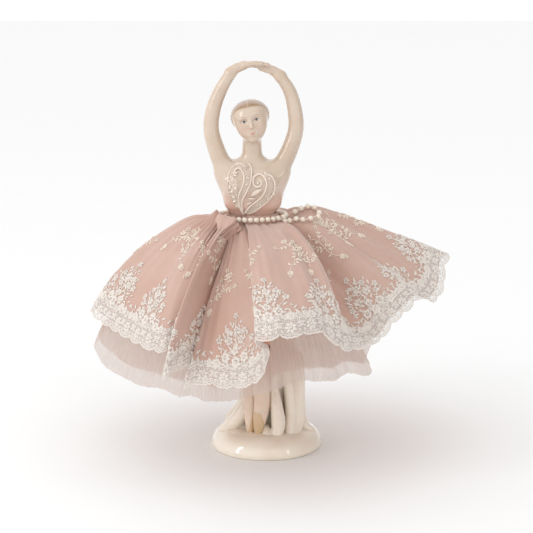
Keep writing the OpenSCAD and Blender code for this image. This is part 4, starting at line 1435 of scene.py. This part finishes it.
def lace_pyramid(work, size, jitter):
    """The tall corner motif of the lace: a tree of flowers on curved stems."""
    def at(x, y):
        """A place in the tree, moved a little at random."""
        return np.array([x * size, y * size]) + jitter.uniform(-0.35, 0.35, 2)
    work.cord([at(0, 8), at(-0.8, 14), at(0.7, 21), at(-0.3, 28), at(0.2, 33)], 0.3)
    for side in (-1, 1):
        work.cord(resample([at(0, 9), at(side * 5, 10), at(side * 10, 12.5),
                               at(side * 14, 12)], 10), 0.24)
        work.cord(resample([at(0, 14), at(side * 4, 16), at(side * 8, 20),
                               at(side * 9.4, 22.5)], 9), 0.22)
        work.cord(resample([at(0, 20), at(side * 2.5, 22), at(side * 5, 26.5)], 7), 0.2)
        for x, y, r in ((5.4, 14.6, 2.4), (10.4, 11.6, 2.3), (14.4, 11.4, 1.9), (3.4, 22.4, 2.0),
                        (9.6, 22.4, 1.7), (5.2, 27.2, 1.5)):
            work.flower(at(side * x, y), 1.12 * r * size, 5 + int(r > 2.2),
                        jitter.uniform(0, 6), 0.42)
        for x, y, dx, dy in ((7.6, 18.4, 3.0, 1.2), (2.2, 18.0, 2.4, 2.2), (12.6, 15.4, 2.4, 1.8),
                             (6.6, 24.0, 1.0, 2.8), (1.6, 25.4, 1.8, 2.4), (8.2, 15.0, 2.4, 0.4),
                             (16.6, 13.8, 1.4, 2.2), (2.6, 30.2, 1.3, 2.0)):
            start = at(side * x, y)
            work.petal(start, start + np.array([side * dx, dy]) * size, 0.62, 0.45)
            start = at(side * x * 0.9, y - 1.6)
            work.petal(start, start + np.array([-side * dx * 0.6, dy * 1.1]) * size, 0.5, 0.4)
    for x, y, r in ((0, 12.4, 2.7), (-0.2, 17.6, 2.0), (0.3, 27.2, 1.9), (0.1, 34.4, 1.5)):
        work.flower(at(x, y), 1.12 * r * size, 6 if r > 2.5 else 5, jitter.uniform(0, 6), 0.42)

    def spot(low, high, half_widths):
        """A random place inside the outline of the tree."""
        y = jitter.uniform(low, high)
        x = jitter.uniform(-1, 1) * np.interp(y, [8, 22, 34], half_widths)
        return np.array([x, y]) * size
    for _ in range(70):
        work.knot(spot(8, 31, [17, 11, 3]), jitter.uniform(0.35, 0.6))
    for _ in range(26):
        start = spot(12, 30, [17, 11, 3])
        work.petal(start, start + 2.3 * heading(jitter.uniform(0.5, 2.6)), 0.55)
    for _ in range(6):
        work.flower(spot(13, 27, [15, 9, 2]), jitter.uniform(1.2, 1.7), 5,
                    jitter.uniform(0, 6), 0.42)


def lace_lobe(work, pitch, jitter):
    """One scallop: a wheel flower in the middle, leaves and cords round it."""
    half = pitch / 2
    phase = np.linspace(0.02, 0.98, 21)
    x = (phase - 0.5) * pitch
    edge = lobe_edge(phase)
    work.cord(np.stack([x, edge + 0.15], 1), 0.46, 0.55)
    work.cord(np.stack([x * 0.86, edge * 0.9 + 1.55], 1), 0.22, 0.35)
    centre = (jitter.uniform(-0.3, 0.3), 5.6)
    work.ring(centre, 1.25, 0.24)
    work.flower(centre, 3.3, 7, jitter.uniform(0, 1), 0.3)
    for side in (-1, 1):
        for x0, y0, dx, dy in ((3.9, 3.4, 1.6, 1.3), (3.6, 5.6, 2.2, 0.9), (3.4, 8.0, 2.2, 0.3),
                               (1.4, 9.6, 1.6, 1.8), (4.9, 9.4, 0.9, 1.8)):
            work.petal((side * x0, y0), (side * (x0 + dx), y0 + dy), 0.55, 0.45)
        work.flower((side * half, 7.2), 1.7, 5, jitter.uniform(0, 6))
    wave = np.linspace(-half, half, 13)
    work.cord(np.stack([wave, 11.2 + 0.7 * np.sin(wave * 4 * math.pi / pitch)], 1), 0.26)
    for k in range(7):
        x = -half + pitch * (k + 0.5) / 7
        work.petal((x, 11.6), (x + jitter.uniform(-0.5, 0.5), 13.2 + jitter.uniform(-0.4, 0.8)),
                   0.42, 0.35)
    for k in range(5):
        work.knot((jitter.uniform(-half, half), jitter.uniform(8.5, 12.5)), 0.4)


# where the flower trees stand, counted in ribs of the overskirt
TREE_RIBS = [0.5, 2.2, 4, 5.6, 7.2, 9, 12.6, 15, 18.3, 22.8, 26, 28.6, 31, 33.6, 36.2, 38.6,
             40.4, 42.2]
LOBE = 12.6               # width of a scallop before they are fitted to the hem
NET_DEPTH, NET_LIFT = 13.5, 0.22


def make_lace(outer):
    """Net edging, its corded scallops and the flower trees above them."""
    hem = outer.round[:, -1]
    total = hem[-1]
    columns = np.arange(len(hem))
    lobes = int(round(total / LOBE))
    pitch = total / lobes
    jitter = np.random.default_rng(77)

    phase = (hem[:-1] / pitch) % 1.0
    low = lobe_edge(phase)
    down = outer.down
    points, flat = [], []
    for f in np.linspace(0, 1, 9):
        b = low + (NET_DEPTH - low) * (1 - f)
        k = np.array([np.interp(down[i, -1] - b[i], down[i], np.arange(len(outer.t)))
                      for i in range(outer.n)])
        u = np.arange(outer.n, dtype=float)
        normal = unit(outer.sample(outer.normal, u, k))
        points.append(outer.sample(outer.p, u, k) + NET_LIFT * normal)
        flat.append(np.stack([hem[:-1], b, 0 * b], 1))
    points, flat = np.stack(points, 1), np.stack(flat, 1)
    net = make_object("lace_net", points.reshape(-1, 3), lattice(*points.shape[:2]), None,
                      {"weave": flat.reshape(-1, 3)})
    finish_piece(net, LACE_NET, "white_lace", ["lace_border"])
    area = grid_area(points) * MM * MM

    edging = Stitching()
    for k in range(lobes):
        lace_lobe(edging, pitch, jitter)
        edging.laid(outer.at(np.interp((k + 0.5) * pitch, hem, columns)))
    edging.finish("lace_scallops", LACE, "white_lace")

    per_rib = outer.n / len(SKIRT_RIBS)
    for side, ribs in (("right", TREE_RIBS[:9]), ("left", TREE_RIBS[9:])):
        trees = Stitching()
        for rib in ribs:
            lace_pyramid(trees, jitter.uniform(1.0, 1.12), jitter)
            trees.laid(outer.at(rib * per_rib))
        trees.finish("lace_flowers_" + side, LACE, "white_lace")


def vine(work, height, lean, length, jitter):
    """A wandering stem with side sprigs, flowers and buds."""
    f = np.linspace(0, 1, 15)
    a = lean + 0.5 * np.sin(2 * np.pi * f * 0.9 + jitter.uniform(0, 6))
    step = np.stack([np.cos(a), np.sin(a)], 1) * length / 14
    path = np.array([0, height]) + np.cumsum(step, 0) - step[0]
    work.cord(path, 0.22)
    for k, i in enumerate((2, 5, 8, 11)):
        side = 1 if k % 2 else -1
        work.sprig(path[i], a[i] + side * 0.9, jitter.uniform(6, 10), -side * 0.8,
                   jitter.uniform(1.2, 1.65))
        start = path[i] + np.array([0.3 * side, 0.2])
        work.petal(start, start + 2.8 * heading(a[i] - side * 0.9), 0.6)
    work.flower(path[-1], 2.1, 6, jitter.uniform(0, 6))
    work.sprig(path[0], a[0] + 3.0, 4.5, 0.4, 1.6)


# rib, height above the hem, direction in degrees and length of each vine
VINES = [
    [0.8, 52, 75, 22], [2.6, 44, 110, 20], [4.4, 50, 70, 24], [6.2, 46, 100, 22],
    [7.6, 56, 60, 20], [9.4, 50, 115, 24], [10.8, 46, 80, 20], [14.6, 52, 95, 22],
    [16.6, 44, 70, 20], [19.6, 48, 82, 26], [21.8, 46, 100, 20], [24.4, 42, 60, 20],
    [26.0, 46, 105, 26], [27.8, 54, 80, 20], [29.8, 44, 70, 22], [31.6, 48, 110, 24],
    [33.2, 52, 75, 20], [35.0, 56, 100, 24], [36.8, 46, 80, 20], [38.8, 44, 100, 22],
    [40.6, 50, 70, 20], [42.4, 46, 105, 24]]


def make_vines(outer):
    """The sprigs scattered over the overskirt above and between the trees."""
    jitter = np.random.default_rng(31)
    per_rib = outer.n / len(SKIRT_RIBS)
    work = Stitching()
    for rib, height, lean, length in VINES:
        vine(work, height, math.radians(lean), length, jitter)
        work.laid(outer.at(rib * per_rib))
    work.finish("vine_sprigs", CREAM_THREAD, "white_lace")


def lace_thread(name, pale, deep):
    """Shiny twisted embroidery cotton."""
    s = Shader(name)
    weave = s.place("weave")
    twist = s.noise(s.scaled(weave, (3.0, 1.4, 1.0)), 1.6, 3.0, 0.6)
    broad = s.noise(weave, 0.12, 2.0, 0.5)
    colour = s.mix(s.add(s.mul(twist, 0.6), s.mul(broad, 0.4)), deep, pale)
    normal = s.bump(twist, 0.6, 0.00012)
    return s.done(s.surface(colour, s.add(0.5, s.mul(twist, 0.25)), normal,
                            Sheen_Weight=0.25, Sheen_Roughness=0.4, Specular_IOR_Level=0.35))


def open_net():
    """The lace's net, whose holes are really open."""
    thread = (0.88, 0.85, 0.82)
    s = Shader("lace_net_thread")
    weave = s.place("weave")
    line = net_cells(s, weave, 0.95, 0.2, 0.2, 0.06)
    fuzz = s.noise(weave, 3.0, 3.0, 0.6)
    colour = s.mix(fuzz, tuple(0.86 * c for c in thread), thread)
    normal = s.bump(line, 0.5, 0.0001)
    return s.veiled(s.add(0.12, s.mul(line, 0.85)),
                    s.surface(colour, 0.75, normal, Sheen_Weight=0.2))


LACE = lace_thread("lace_cotton", (0.87, 0.81, 0.755), (0.74, 0.665, 0.60))
CREAM_THREAD = lace_thread("cream_silk", (0.90, 0.80, 0.69), (0.80, 0.67, 0.555))
LACE_NET = open_net()


# ---------------------------------------------------------------- waist and pearls

PEARL_D, THREAD_D, BELT_Z = 3.0, 0.5, WAIST_Z + 1.7
BELT_PEARLS, LOOP_PEARLS = 32, 11
BELT_START, BELT_SWEEP = 68, 344         # degrees round the waist, first to last pearl
BELT_REACH = 0.4 + PEARL_D / 2           # from the cloth to the middle of a pearl
HALF_RADIAN = 28.6                       # in degrees
# rib and share of the way down, for the loop that hangs at the waist
LOOP_ROUTE = [
    [27, 0.03], [31, 0.06], [32, 0.11], [32.2, 0.16], [33, 0.2],
    [34.6, 0.21], [35.8, 0.19], [36.1, 0.15], [35.8, 0.11], [35.3, 0.07]]


def belt_point(azimuth):
    """Where the strand round the waist runs."""
    a = np.radians(azimuth)
    return np.stack([BODY_X + (WAIST_RX + BELT_REACH) * np.sin(a),
                     -(WAIST_RY + BELT_REACH) * np.cos(a), BELT_Z + 0 * a], -1)


def belt_angle(turn):
    """Spaces the pearls evenly round the oval waist."""
    oval = (WAIST_RX - WAIST_RY) / (WAIST_RX + WAIST_RY + 2 * BELT_REACH)
    return turn - HALF_RADIAN * oval * np.sin(np.radians(2 * turn))


def loop_point(place):
    """Where the hanging loop runs, on top of the overskirt."""
    rib, t = spline_rows(LOOP_ROUTE, place).T
    e = 1e-3
    across = cloth(SKIRT_RIBS, rib + e, t) - cloth(SKIRT_RIBS, rib - e, t)
    down = cloth(SKIRT_RIBS, rib, t + e) - cloth(SKIRT_RIBS, rib, t - e)
    return cloth(SKIRT_RIBS, rib, t) + (0.3 + PEARL_D / 2) * unit(np.cross(down, across))


def pearl_string(points, ways, seed):
    """Drilled pearls: each one a ball with a narrow hole along the thread."""
    rng = np.random.default_rng(seed)
    pile, flat = Pile(), []
    hole, radius = 0.32, PEARL_D / 2
    start = math.asin(hole / radius)
    steps, turns = 15, 26
    bend = np.linspace(start, math.pi - start, steps)
    profile = [(radius * math.sin(b), -radius * math.cos(b)) for b in bend]
    lip = [(hole * 1.5, profile[-1][1] + 0.02), (hole, profile[-1][1] - 0.16),
           (hole, 0.0), (hole, profile[0][1] + 0.16), (hole * 1.5, profile[0][1] - 0.02)]
    profile = np.array(profile[1:-1] + lip)
    a = 2 * np.pi * np.arange(turns) / turns
    n = len(profile)
    quads = lattice(n, turns, tube=True)[:, ::-1]
    for point, way in zip(points, ways):
        z = unit(way)
        x = unit(np.cross(z, [0.1, 0.2, 1.0]))
        y = np.cross(z, x)
        size = rng.uniform(0.97, 1.0)
        ring = np.cos(a)[:, None] * x + np.sin(a)[:, None] * y
        verts = point + size * (profile[:, 0, None, None] * ring + profile[:, 1, None, None] * z)
        pile.add(verts.reshape(-1, 3), quads)
        flat.append(np.tile(rng.uniform(-40, 40, 3), (n * turns, 1)) + verts.reshape(-1, 3))
    return pile, np.concatenate(flat)


def thread_curve(name, points):
    """The stringing thread, as a curve with a round section."""
    curve = bpy.data.curves.new(name, "CURVE")
    curve.dimensions = "3D"
    curve.bevel_depth, curve.bevel_resolution = THREAD_D / 2 * MM, 2
    curve.use_fill_caps = True
    spline = curve.splines.new("POLY")
    spline.points.add(len(points) - 1)
    flat = np.concatenate([points * MM, np.ones((len(points), 1))], 1)
    spline.points.foreach_set("co", flat.astype(np.float32).ravel())
    obj = bpy.data.objects.new(name, curve)
    bpy.context.scene.collection.objects.link(obj)
    return obj


def pearl_piece(name, line, places, gap, seed, replaced):
    """Pearls at places along a line, drilled in the direction the line runs."""
    ways = line(places + gap) - line(places - gap)
    pile, flat = pearl_string(line(places), ways, seed)
    piece = make_object(name, *pile.arrays(), {"weave": flat})
    return finish_piece(piece, PEARL, "pearl", [replaced])


def make_pearls():
    """The strand round the waist and the loop that hangs from it."""
    azimuth = belt_angle(BELT_START + BELT_SWEEP * np.arange(BELT_PEARLS) / (BELT_PEARLS - 1))
    pearl_piece("waist_pearl_string", belt_point, azimuth, 1, 5, "waist_pearls")
    belt_line = thread_curve("waist_thread_line", belt_point(np.linspace(64, 416, 120)))
    finish_piece(belt_line, THREAD, "thread", ["waist_thread"])

    places = 0.4 + 8.2 * np.arange(LOOP_PEARLS) / (LOOP_PEARLS - 1)
    loop = pearl_piece("loop_pearl_string", loop_point, places, 0.05, 6, "loop_pearls")
    route = loop_point(np.linspace(0, 9, 91))
    line = thread_curve("loop_thread_line", route)
    finish_piece(line, THREAD, "thread", ["loop_thread"])


def make_waistband():
    """A ribbed cotton tape round the porcelain waist, a closed strip."""
    turns, rows = 160, 5
    a = 2 * np.pi * np.arange(turns) / turns
    z = np.linspace(WAIST_Z - 3, WAIST_Z + 0.6, rows)
    body = np.array(TORSO_ROWS)
    rx, ry, cy = (np.interp(z, body[:, 0], body[:, k]) for k in (3, 4, 2))
    walls = []
    for lift in (0.75, 1.45):
        ripple = 0.08 * np.sin(a * 40)[:, None] * (lift > 1)
        x = BODY_X + (rx + lift + ripple) * np.sin(a)[:, None]
        y = cy - (ry + lift + ripple) * np.cos(a)[:, None]
        walls.append(np.stack([x, y, np.broadcast_to(z, x.shape)], -1))
    ring = np.concatenate([walls[1], walls[0][:, ::-1]], 1)
    quads = lattice(turns, ring.shape[1], tube=True)[:, FLIP]
    arc = np.broadcast_to((a * 14)[:, None], ring.shape[:2])
    flat = np.stack([arc, ring[..., 2] - WAIST_Z, 0 * arc], -1)
    tape = make_object("waist_tape", ring.reshape(-1, 3), quads, None,
                       {"weave": flat.reshape(-1, 3)})
    finish_piece(tape, TAPE, "white_tape", ["waistband"])


def tape_cloth():
    """Ribbed white cotton tape."""
    s = Shader("tape_cloth")
    weave = s.place("weave")
    x, y, _ = s.split(weave)
    rib = s.math("SINE", s.mul(x, 12.0))
    fuzz = s.noise(weave, 2.5, 3.0, 0.6)
    colour = s.mix(fuzz, (0.78, 0.72, 0.66), (0.88, 0.83, 0.78))
    return s.done(s.surface(colour, s.add(0.6, s.mul(fuzz, 0.2)),
                            s.bump(s.add(rib, fuzz), 0.5, 0.00015), Sheen_Weight=0.2))


def pearl_coat():
    """Gloss pearl paint: warm white with a faint pink and green play."""
    s = Shader("pearl_coat")
    at = s.place("weave")
    swirl = s.noise(at, 0.5, 3.0, 0.5)
    fine = s.noise(at, 4.0, 3.0, 0.6)
    facing = s.node("ShaderNodeLayerWeight")
    facing.inputs["Blend"].default_value = 0.35
    rim = facing.outputs["Facing"]
    core = s.mix(swirl, (0.83, 0.73, 0.59), (0.89, 0.81, 0.69))
    edge = s.mix(s.smooth_step(swirl, 0.4, 0.6), (0.80, 0.66, 0.58), (0.74, 0.71, 0.60))
    colour = s.mix(rim, core, edge)
    normal = s.bump(fine, 0.06, 0.0001)
    return s.done(s.surface(colour, s.add(0.16, s.mul(swirl, 0.14)), normal,
                            Coat_Weight=0.9, Coat_Roughness=0.05, Subsurface_Weight=0.1,
                            Subsurface_Scale=0.001, Specular_IOR_Level=0.6))


def thread_cotton():
    """Off-white stringing thread."""
    s = Shader("thread_cotton")
    at = s.place()
    fibre = s.noise(at, 4000.0, 3.0, 0.6)
    colour = s.mix(fibre, (0.74, 0.68, 0.60), (0.86, 0.81, 0.74))
    return s.done(s.surface(colour, s.add(0.5, s.mul(fibre, 0.2)),
                            s.bump(fibre, 0.4, 0.00005), Sheen_Weight=0.2))


TAPE, PEARL, THREAD = tape_cloth(), pearl_coat(), thread_cotton()


# ---------------------------------------------------------------- bodice scrollwork

# Cords across the chest, as millimetres right of the middle and height.
SCROLL_LEFT = [
    [-8.2, 151.6], [-9.2, 151.4], [-9.6, 152.6], [-8.8, 154.2], [-7.0, 155.0], [-5.2, 153.4],
    [-4.4, 150.4], [-5.2, 146.4], [-6.8, 142.6], [-7.2, 138.8], [-6.4, 134.6], [-4.6, 130.8]]
SCROLL_LEFT_RIM = [
    [-12.4, 148.0], [-12.6, 151.6], [-11.2, 154.8], [-8.6, 156.9], [-5.6, 157.2], [-3.2, 155.6]]
SCROLL_MIDDLE = [
    [-1.9, 157.4], [-0.6, 155.2], [-0.5, 151.6], [-1.1, 147.8], [-2.8, 144.0], [-4.8, 140.0],
    [-5.5, 136.0], [-5.0, 132.2]]
SCROLL_NINE = [
    [3.4, 149.4], [4.6, 148.6], [4.6, 147.0], [3.0, 146.0], [1.0, 146.8], [0.4, 149.0],
    [1.4, 151.2], [3.6, 152.2], [6.0, 151.0], [7.5, 147.4], [6.2, 142.8], [3.0, 138.8],
    [-1.2, 135.4], [-4.0, 131.6]]
SCROLL_RIGHT_RIM = [
    [6.8, 152.4], [10.2, 150.8], [11.7, 146.6], [10.6, 142.0], [7.6, 137.8], [3.0, 134.0],
    [-1.6, 131.2]]


def chest_layer(torso):
    """A laying function that wraps flat work on the front of the torso."""
    tree = BVHTree.FromObject(torso, bpy.context.evaluated_depsgraph_get())

    def place(flat, lift=0.0):
        points = np.zeros((len(flat), 3))
        for n, (a, b, h) in enumerate(flat):
            hit, normal, _, _ = tree.ray_cast(
                Vector(((BODY_X + a) * MM, -0.06, b * MM)), Vector((0, 1, 0)))
            points[n] = np.array(hit) / MM + np.array(normal) * (h + lift)
        return points
    return place


def ribbon(work, side_a, side_b, along, across):
    """A thin padded ground between two lines."""
    a, b = resample(side_a, along), resample(side_b, along)
    f = np.linspace(0, 1, across)
    grid = a[:, None] * (1 - f)[None, :, None] + b[:, None] * f[None, :, None]
    rise = np.full(across, 0.3)
    rise[[0, -1]] = 0.06
    upper = np.concatenate([grid, np.broadcast_to(rise[None, :, None], grid.shape[:2] + (1,))], 2)
    lower = np.concatenate([grid[:, ::-1], np.full(grid.shape[:2] + (1,), -0.05)], 2)
    ring = np.concatenate([upper, lower], 1)
    n = ring.shape[1]
    quads = lattice(along, n, tube=True, loop=False)[:, FLIP]
    last = (along - 1) * n
    caps = [[q, q + 1, n - 2 - q, n - 1 - q] for q in range(across - 1)]
    caps += [[last + q + 1, last + q, last + n - 1 - q, last + n - 2 - q]
             for q in range(across - 1)]
    work.pieces.append((ring.reshape(-1, 3), np.concatenate([quads, caps]),
                        np.zeros((0, 3), int)))


def seeded(work, side_a, side_b, along, across, rng):
    """Rows of little knots that fill the space between two cords."""
    a, b = resample(side_a, along), resample(side_b, along)
    for i in range(along):
        for j in range(across):
            f = (j + 0.5 + 0.25 * (i % 2)) / (across + 0.3)
            spot = a[i] * (1 - f) + b[i] * f + rng.uniform(-0.12, 0.12, 2)
            work.knot(spot, 0.42 * rng.uniform(0.8, 1.15))


def make_scrollwork(torso):
    """Lace ground, knots, satin cords and beads on the bodice."""
    place = chest_layer(torso)
    rng = np.random.default_rng(61)
    left_in, left_out = SCROLL_LEFT[5:], SCROLL_MIDDLE[1:]
    nine_out = SCROLL_NINE[8:]
    patch_a = [[-12.4, 148], [-12.0, 143.4], [-10.4, 139.0], [-8.2, 135.2]]
    patch_b = [[-7.4, 149.0], [-7.4, 143.4], [-7.4, 139.2], [-6.8, 135.0]]
    curl_a, curl_b = SCROLL_LEFT_RIM, [[-7.6, 149], [-9.8, 151.4], [-9.0, 154.0], [-7.2, 155.0],
                                       [-5.6, 154.4], [-4.4, 153.0]]

    # the two edges of each field, then rows and columns of its ground and of its knots
    fields = ((left_in, left_out, 26, 5, 26, 4), (nine_out, SCROLL_RIGHT_RIM, 30, 5, 30, 5),
              (patch_a, patch_b, 16, 5, 15, 5), (curl_a, curl_b, 18, 5, 16, 3))
    ground = Stitching()
    for a, b, along, across, _, _ in fields:
        ribbon(ground, a, b, along, across)
    ground.laid(place)
    for a, b, _, _, along, across in fields:
        seeded(ground, a, b, along, across, rng)
    for x, z in resample(patch_a, 8):
        ground.ring((x + 0.2, z), 0.85, 0.24)
    for x, z in resample(patch_b, 7):
        ground.ring((x - 0.3, z), 0.6, 0.2)
    ground.petal((-0.9, 141.2), (5.4, 145.2), 1.5, 0.9, steps=9)
    ground.petal((-2.6, 139.6), (2.2, 139.6), 0.8, 0.7, steps=7)
    ground.petal((-3.4, 136.4), (0.0, 137.6), 0.7, 0.6, steps=7)
    ground.laid(lambda flat: place(flat, 0.22))
    ground.finish("bodice_lace", LACE_WARM, "white_lace", ["bodice_applique"])

    # each cord's line, points along it, width and height
    cords = {
        "left": ((SCROLL_LEFT, 70, 0.46, 0.62), (SCROLL_LEFT_RIM, 34, 0.38, 0.5),
                 (SCROLL_MIDDLE, 50, 0.46, 0.62)),
        "right": ((SCROLL_NINE, 90, 0.5, 0.66), (SCROLL_RIGHT_RIM, 50, 0.4, 0.52))}
    for side, lines in cords.items():
        work = Stitching()
        for line, count, width, height in lines:
            work.cord(resample(line, count), width, height, sides=8)
        work.laid(lambda flat: place(flat, 0.25))
        work.finish(side + "_scroll_cords", SATIN_CORD, "white_cord", ["scroll_" + side])

    spots = [[6.7, 152.6], [10.8, 142.2], [0.6, 150.6], [-9.6, 140.8], [-9.2, 138.2],
             [-10.4, 143.6], [-8.6, 145.4], [-11.4, 146.0], [3.2, 148.0], [-8.4, 152.6],
             [11.4, 147.0], [8.9, 150.0], [8.0, 139.6], [4.2, 136.2], [-2.4, 150.4], [-3.2, 147.0]]
    centres = place(np.array([[x, z, 0.9] for x, z in spots]))
    pile = Pile()
    for centre, (x, z) in zip(centres, spots):
        size = 0.75 if x < -8 or (x, z) in ((6.7, 152.6), (10.8, 142.2)) else 0.6
        pile.add(*bead(centre, size))
    verts, quads, tris = pile.arrays()
    beads = make_object("bodice_seed_beads", verts, quads, tris, {"weave": verts})
    finish_piece(beads, PEARL, "pearl", ["bodice_beads"])


def bead(centre, radius):
    """A small glossy ball."""
    rows, turns = 7, 12
    bend = np.pi * (np.arange(rows) + 1) / (rows + 1)
    a = 2 * np.pi * np.arange(turns) / turns
    ring = np.stack([np.sin(bend)[:, None] * np.cos(a), np.sin(bend)[:, None] * np.sin(a),
                     np.cos(bend)[:, None] + 0 * a], -1).reshape(-1, 3)
    verts = np.concatenate([ring, [[0, 0, 1], [0, 0, -1]]]) * radius + centre
    quads = lattice(rows, turns, tube=True, loop=False)[:, FLIP]
    top, low, last = rows * turns, rows * turns + 1, (rows - 1) * turns
    tris = [[top, j, (j + 1) % turns] for j in range(turns)]
    tris += [[low, last + (j + 1) % turns, last + j] for j in range(turns)]
    return verts, quads, np.array(tris)


LACE_WARM = lace_thread("bodice_cotton", (0.88, 0.76, 0.66), (0.70, 0.58, 0.48))
SATIN_CORD = lace_thread("satin_cord", (0.92, 0.82, 0.73), (0.78, 0.65, 0.55))


make_base()
sculpt_lower()
torso_mesh = sculpt_torso()
sculpt_arms()
sculpt_head()
sculpt_bun()
skirt = make_cloth()
make_lace(skirt)
make_vines(skirt)
make_waistband()
make_pearls()
make_scrollwork(torso_mesh)


# ---------------------------------------------------------------- studio

def studio():
    """White paper floor, soft lights and the camera of the photo."""
    scene = bpy.context.scene
    s = Shader("studio_paper")
    grain = s.noise(s.place(), 30.0, 2.0, 0.5)
    s.done(s.surface(s.mix(grain, (0.955, 0.955, 0.955), (0.97, 0.97, 0.97)), 0.9))
    w = 3.0
    mesh = bpy.data.meshes.new("studio_floor")
    mesh.from_pydata([(-w, -w, 0), (w, -w, 0), (w, w, 0), (-w, w, 0)], [], [(0, 1, 2, 3)])
    floor = bpy.data.objects.new("studio_floor", mesh)
    floor.data.materials.append(s.mat)
    scene.collection.objects.link(floor)

    world = bpy.data.worlds.new("studio_white")
    world.use_nodes = True
    world.node_tree.nodes["Background"].inputs["Color"].default_value = (1, 1, 1, 1)
    nodes, links = world.node_tree.nodes, world.node_tree.links
    toward = nodes.new("ShaderNodeTexCoord")
    parts = nodes.new("ShaderNodeSeparateXYZ")
    dim = nodes.new("ShaderNodeMapRange")       # the room is darker to the right
    dim.interpolation_type = "SMOOTHSTEP"
    for name, value in (("From Min", 0.2), ("From Max", 0.9), ("To Min", 1.08), ("To Max", 0.5)):
        dim.inputs[name].default_value = value
    links.new(toward.outputs["Generated"], parts.inputs[0])
    links.new(parts.outputs["X"], dim.inputs["Value"])
    links.new(dim.outputs["Result"], nodes["Background"].inputs["Strength"])
    scene.world = world

    aim = Vector((0, 0, 0.1))

    def soft_box(name, at, size, power):
        light = bpy.data.lights.new(name, "AREA")
        light.shape, light.size, light.size_y, light.energy = "RECTANGLE", size[0], size[1], power
        obj = bpy.data.objects.new(name, light)
        obj.location = at
        direction = aim - Vector(at)
        obj.rotation_euler = direction.to_track_quat("-Z", "Y").to_euler()
        scene.collection.objects.link(obj)

    soft_box("key", (-1.05, -0.6, 0.62), (0.14, 0.8), 2.5)
    soft_box("fill", (0.9, -0.9, 0.35), (0.09, 0.9), 1.0)
    soft_box("top", (-0.2, -0.3, 1.2), (0.6, 0.6), 0.3)

    camera = bpy.data.cameras.new("camera")
    camera.lens, camera.sensor_width = 125.0, 36.0
    camera.clip_start, camera.clip_end = 0.05, 20.0
    eye = bpy.data.objects.new("camera", camera)
    rise = math.radians(12.0)
    eye.location = (0.0, -math.cos(rise), 0.1005 + math.sin(rise))
    eye.rotation_euler = (math.radians(90.0) - rise, 0.0, 0.0)
    scene.collection.objects.link(eye)
    scene.camera = eye
    scene.view_settings.view_transform = "Standard"


studio()
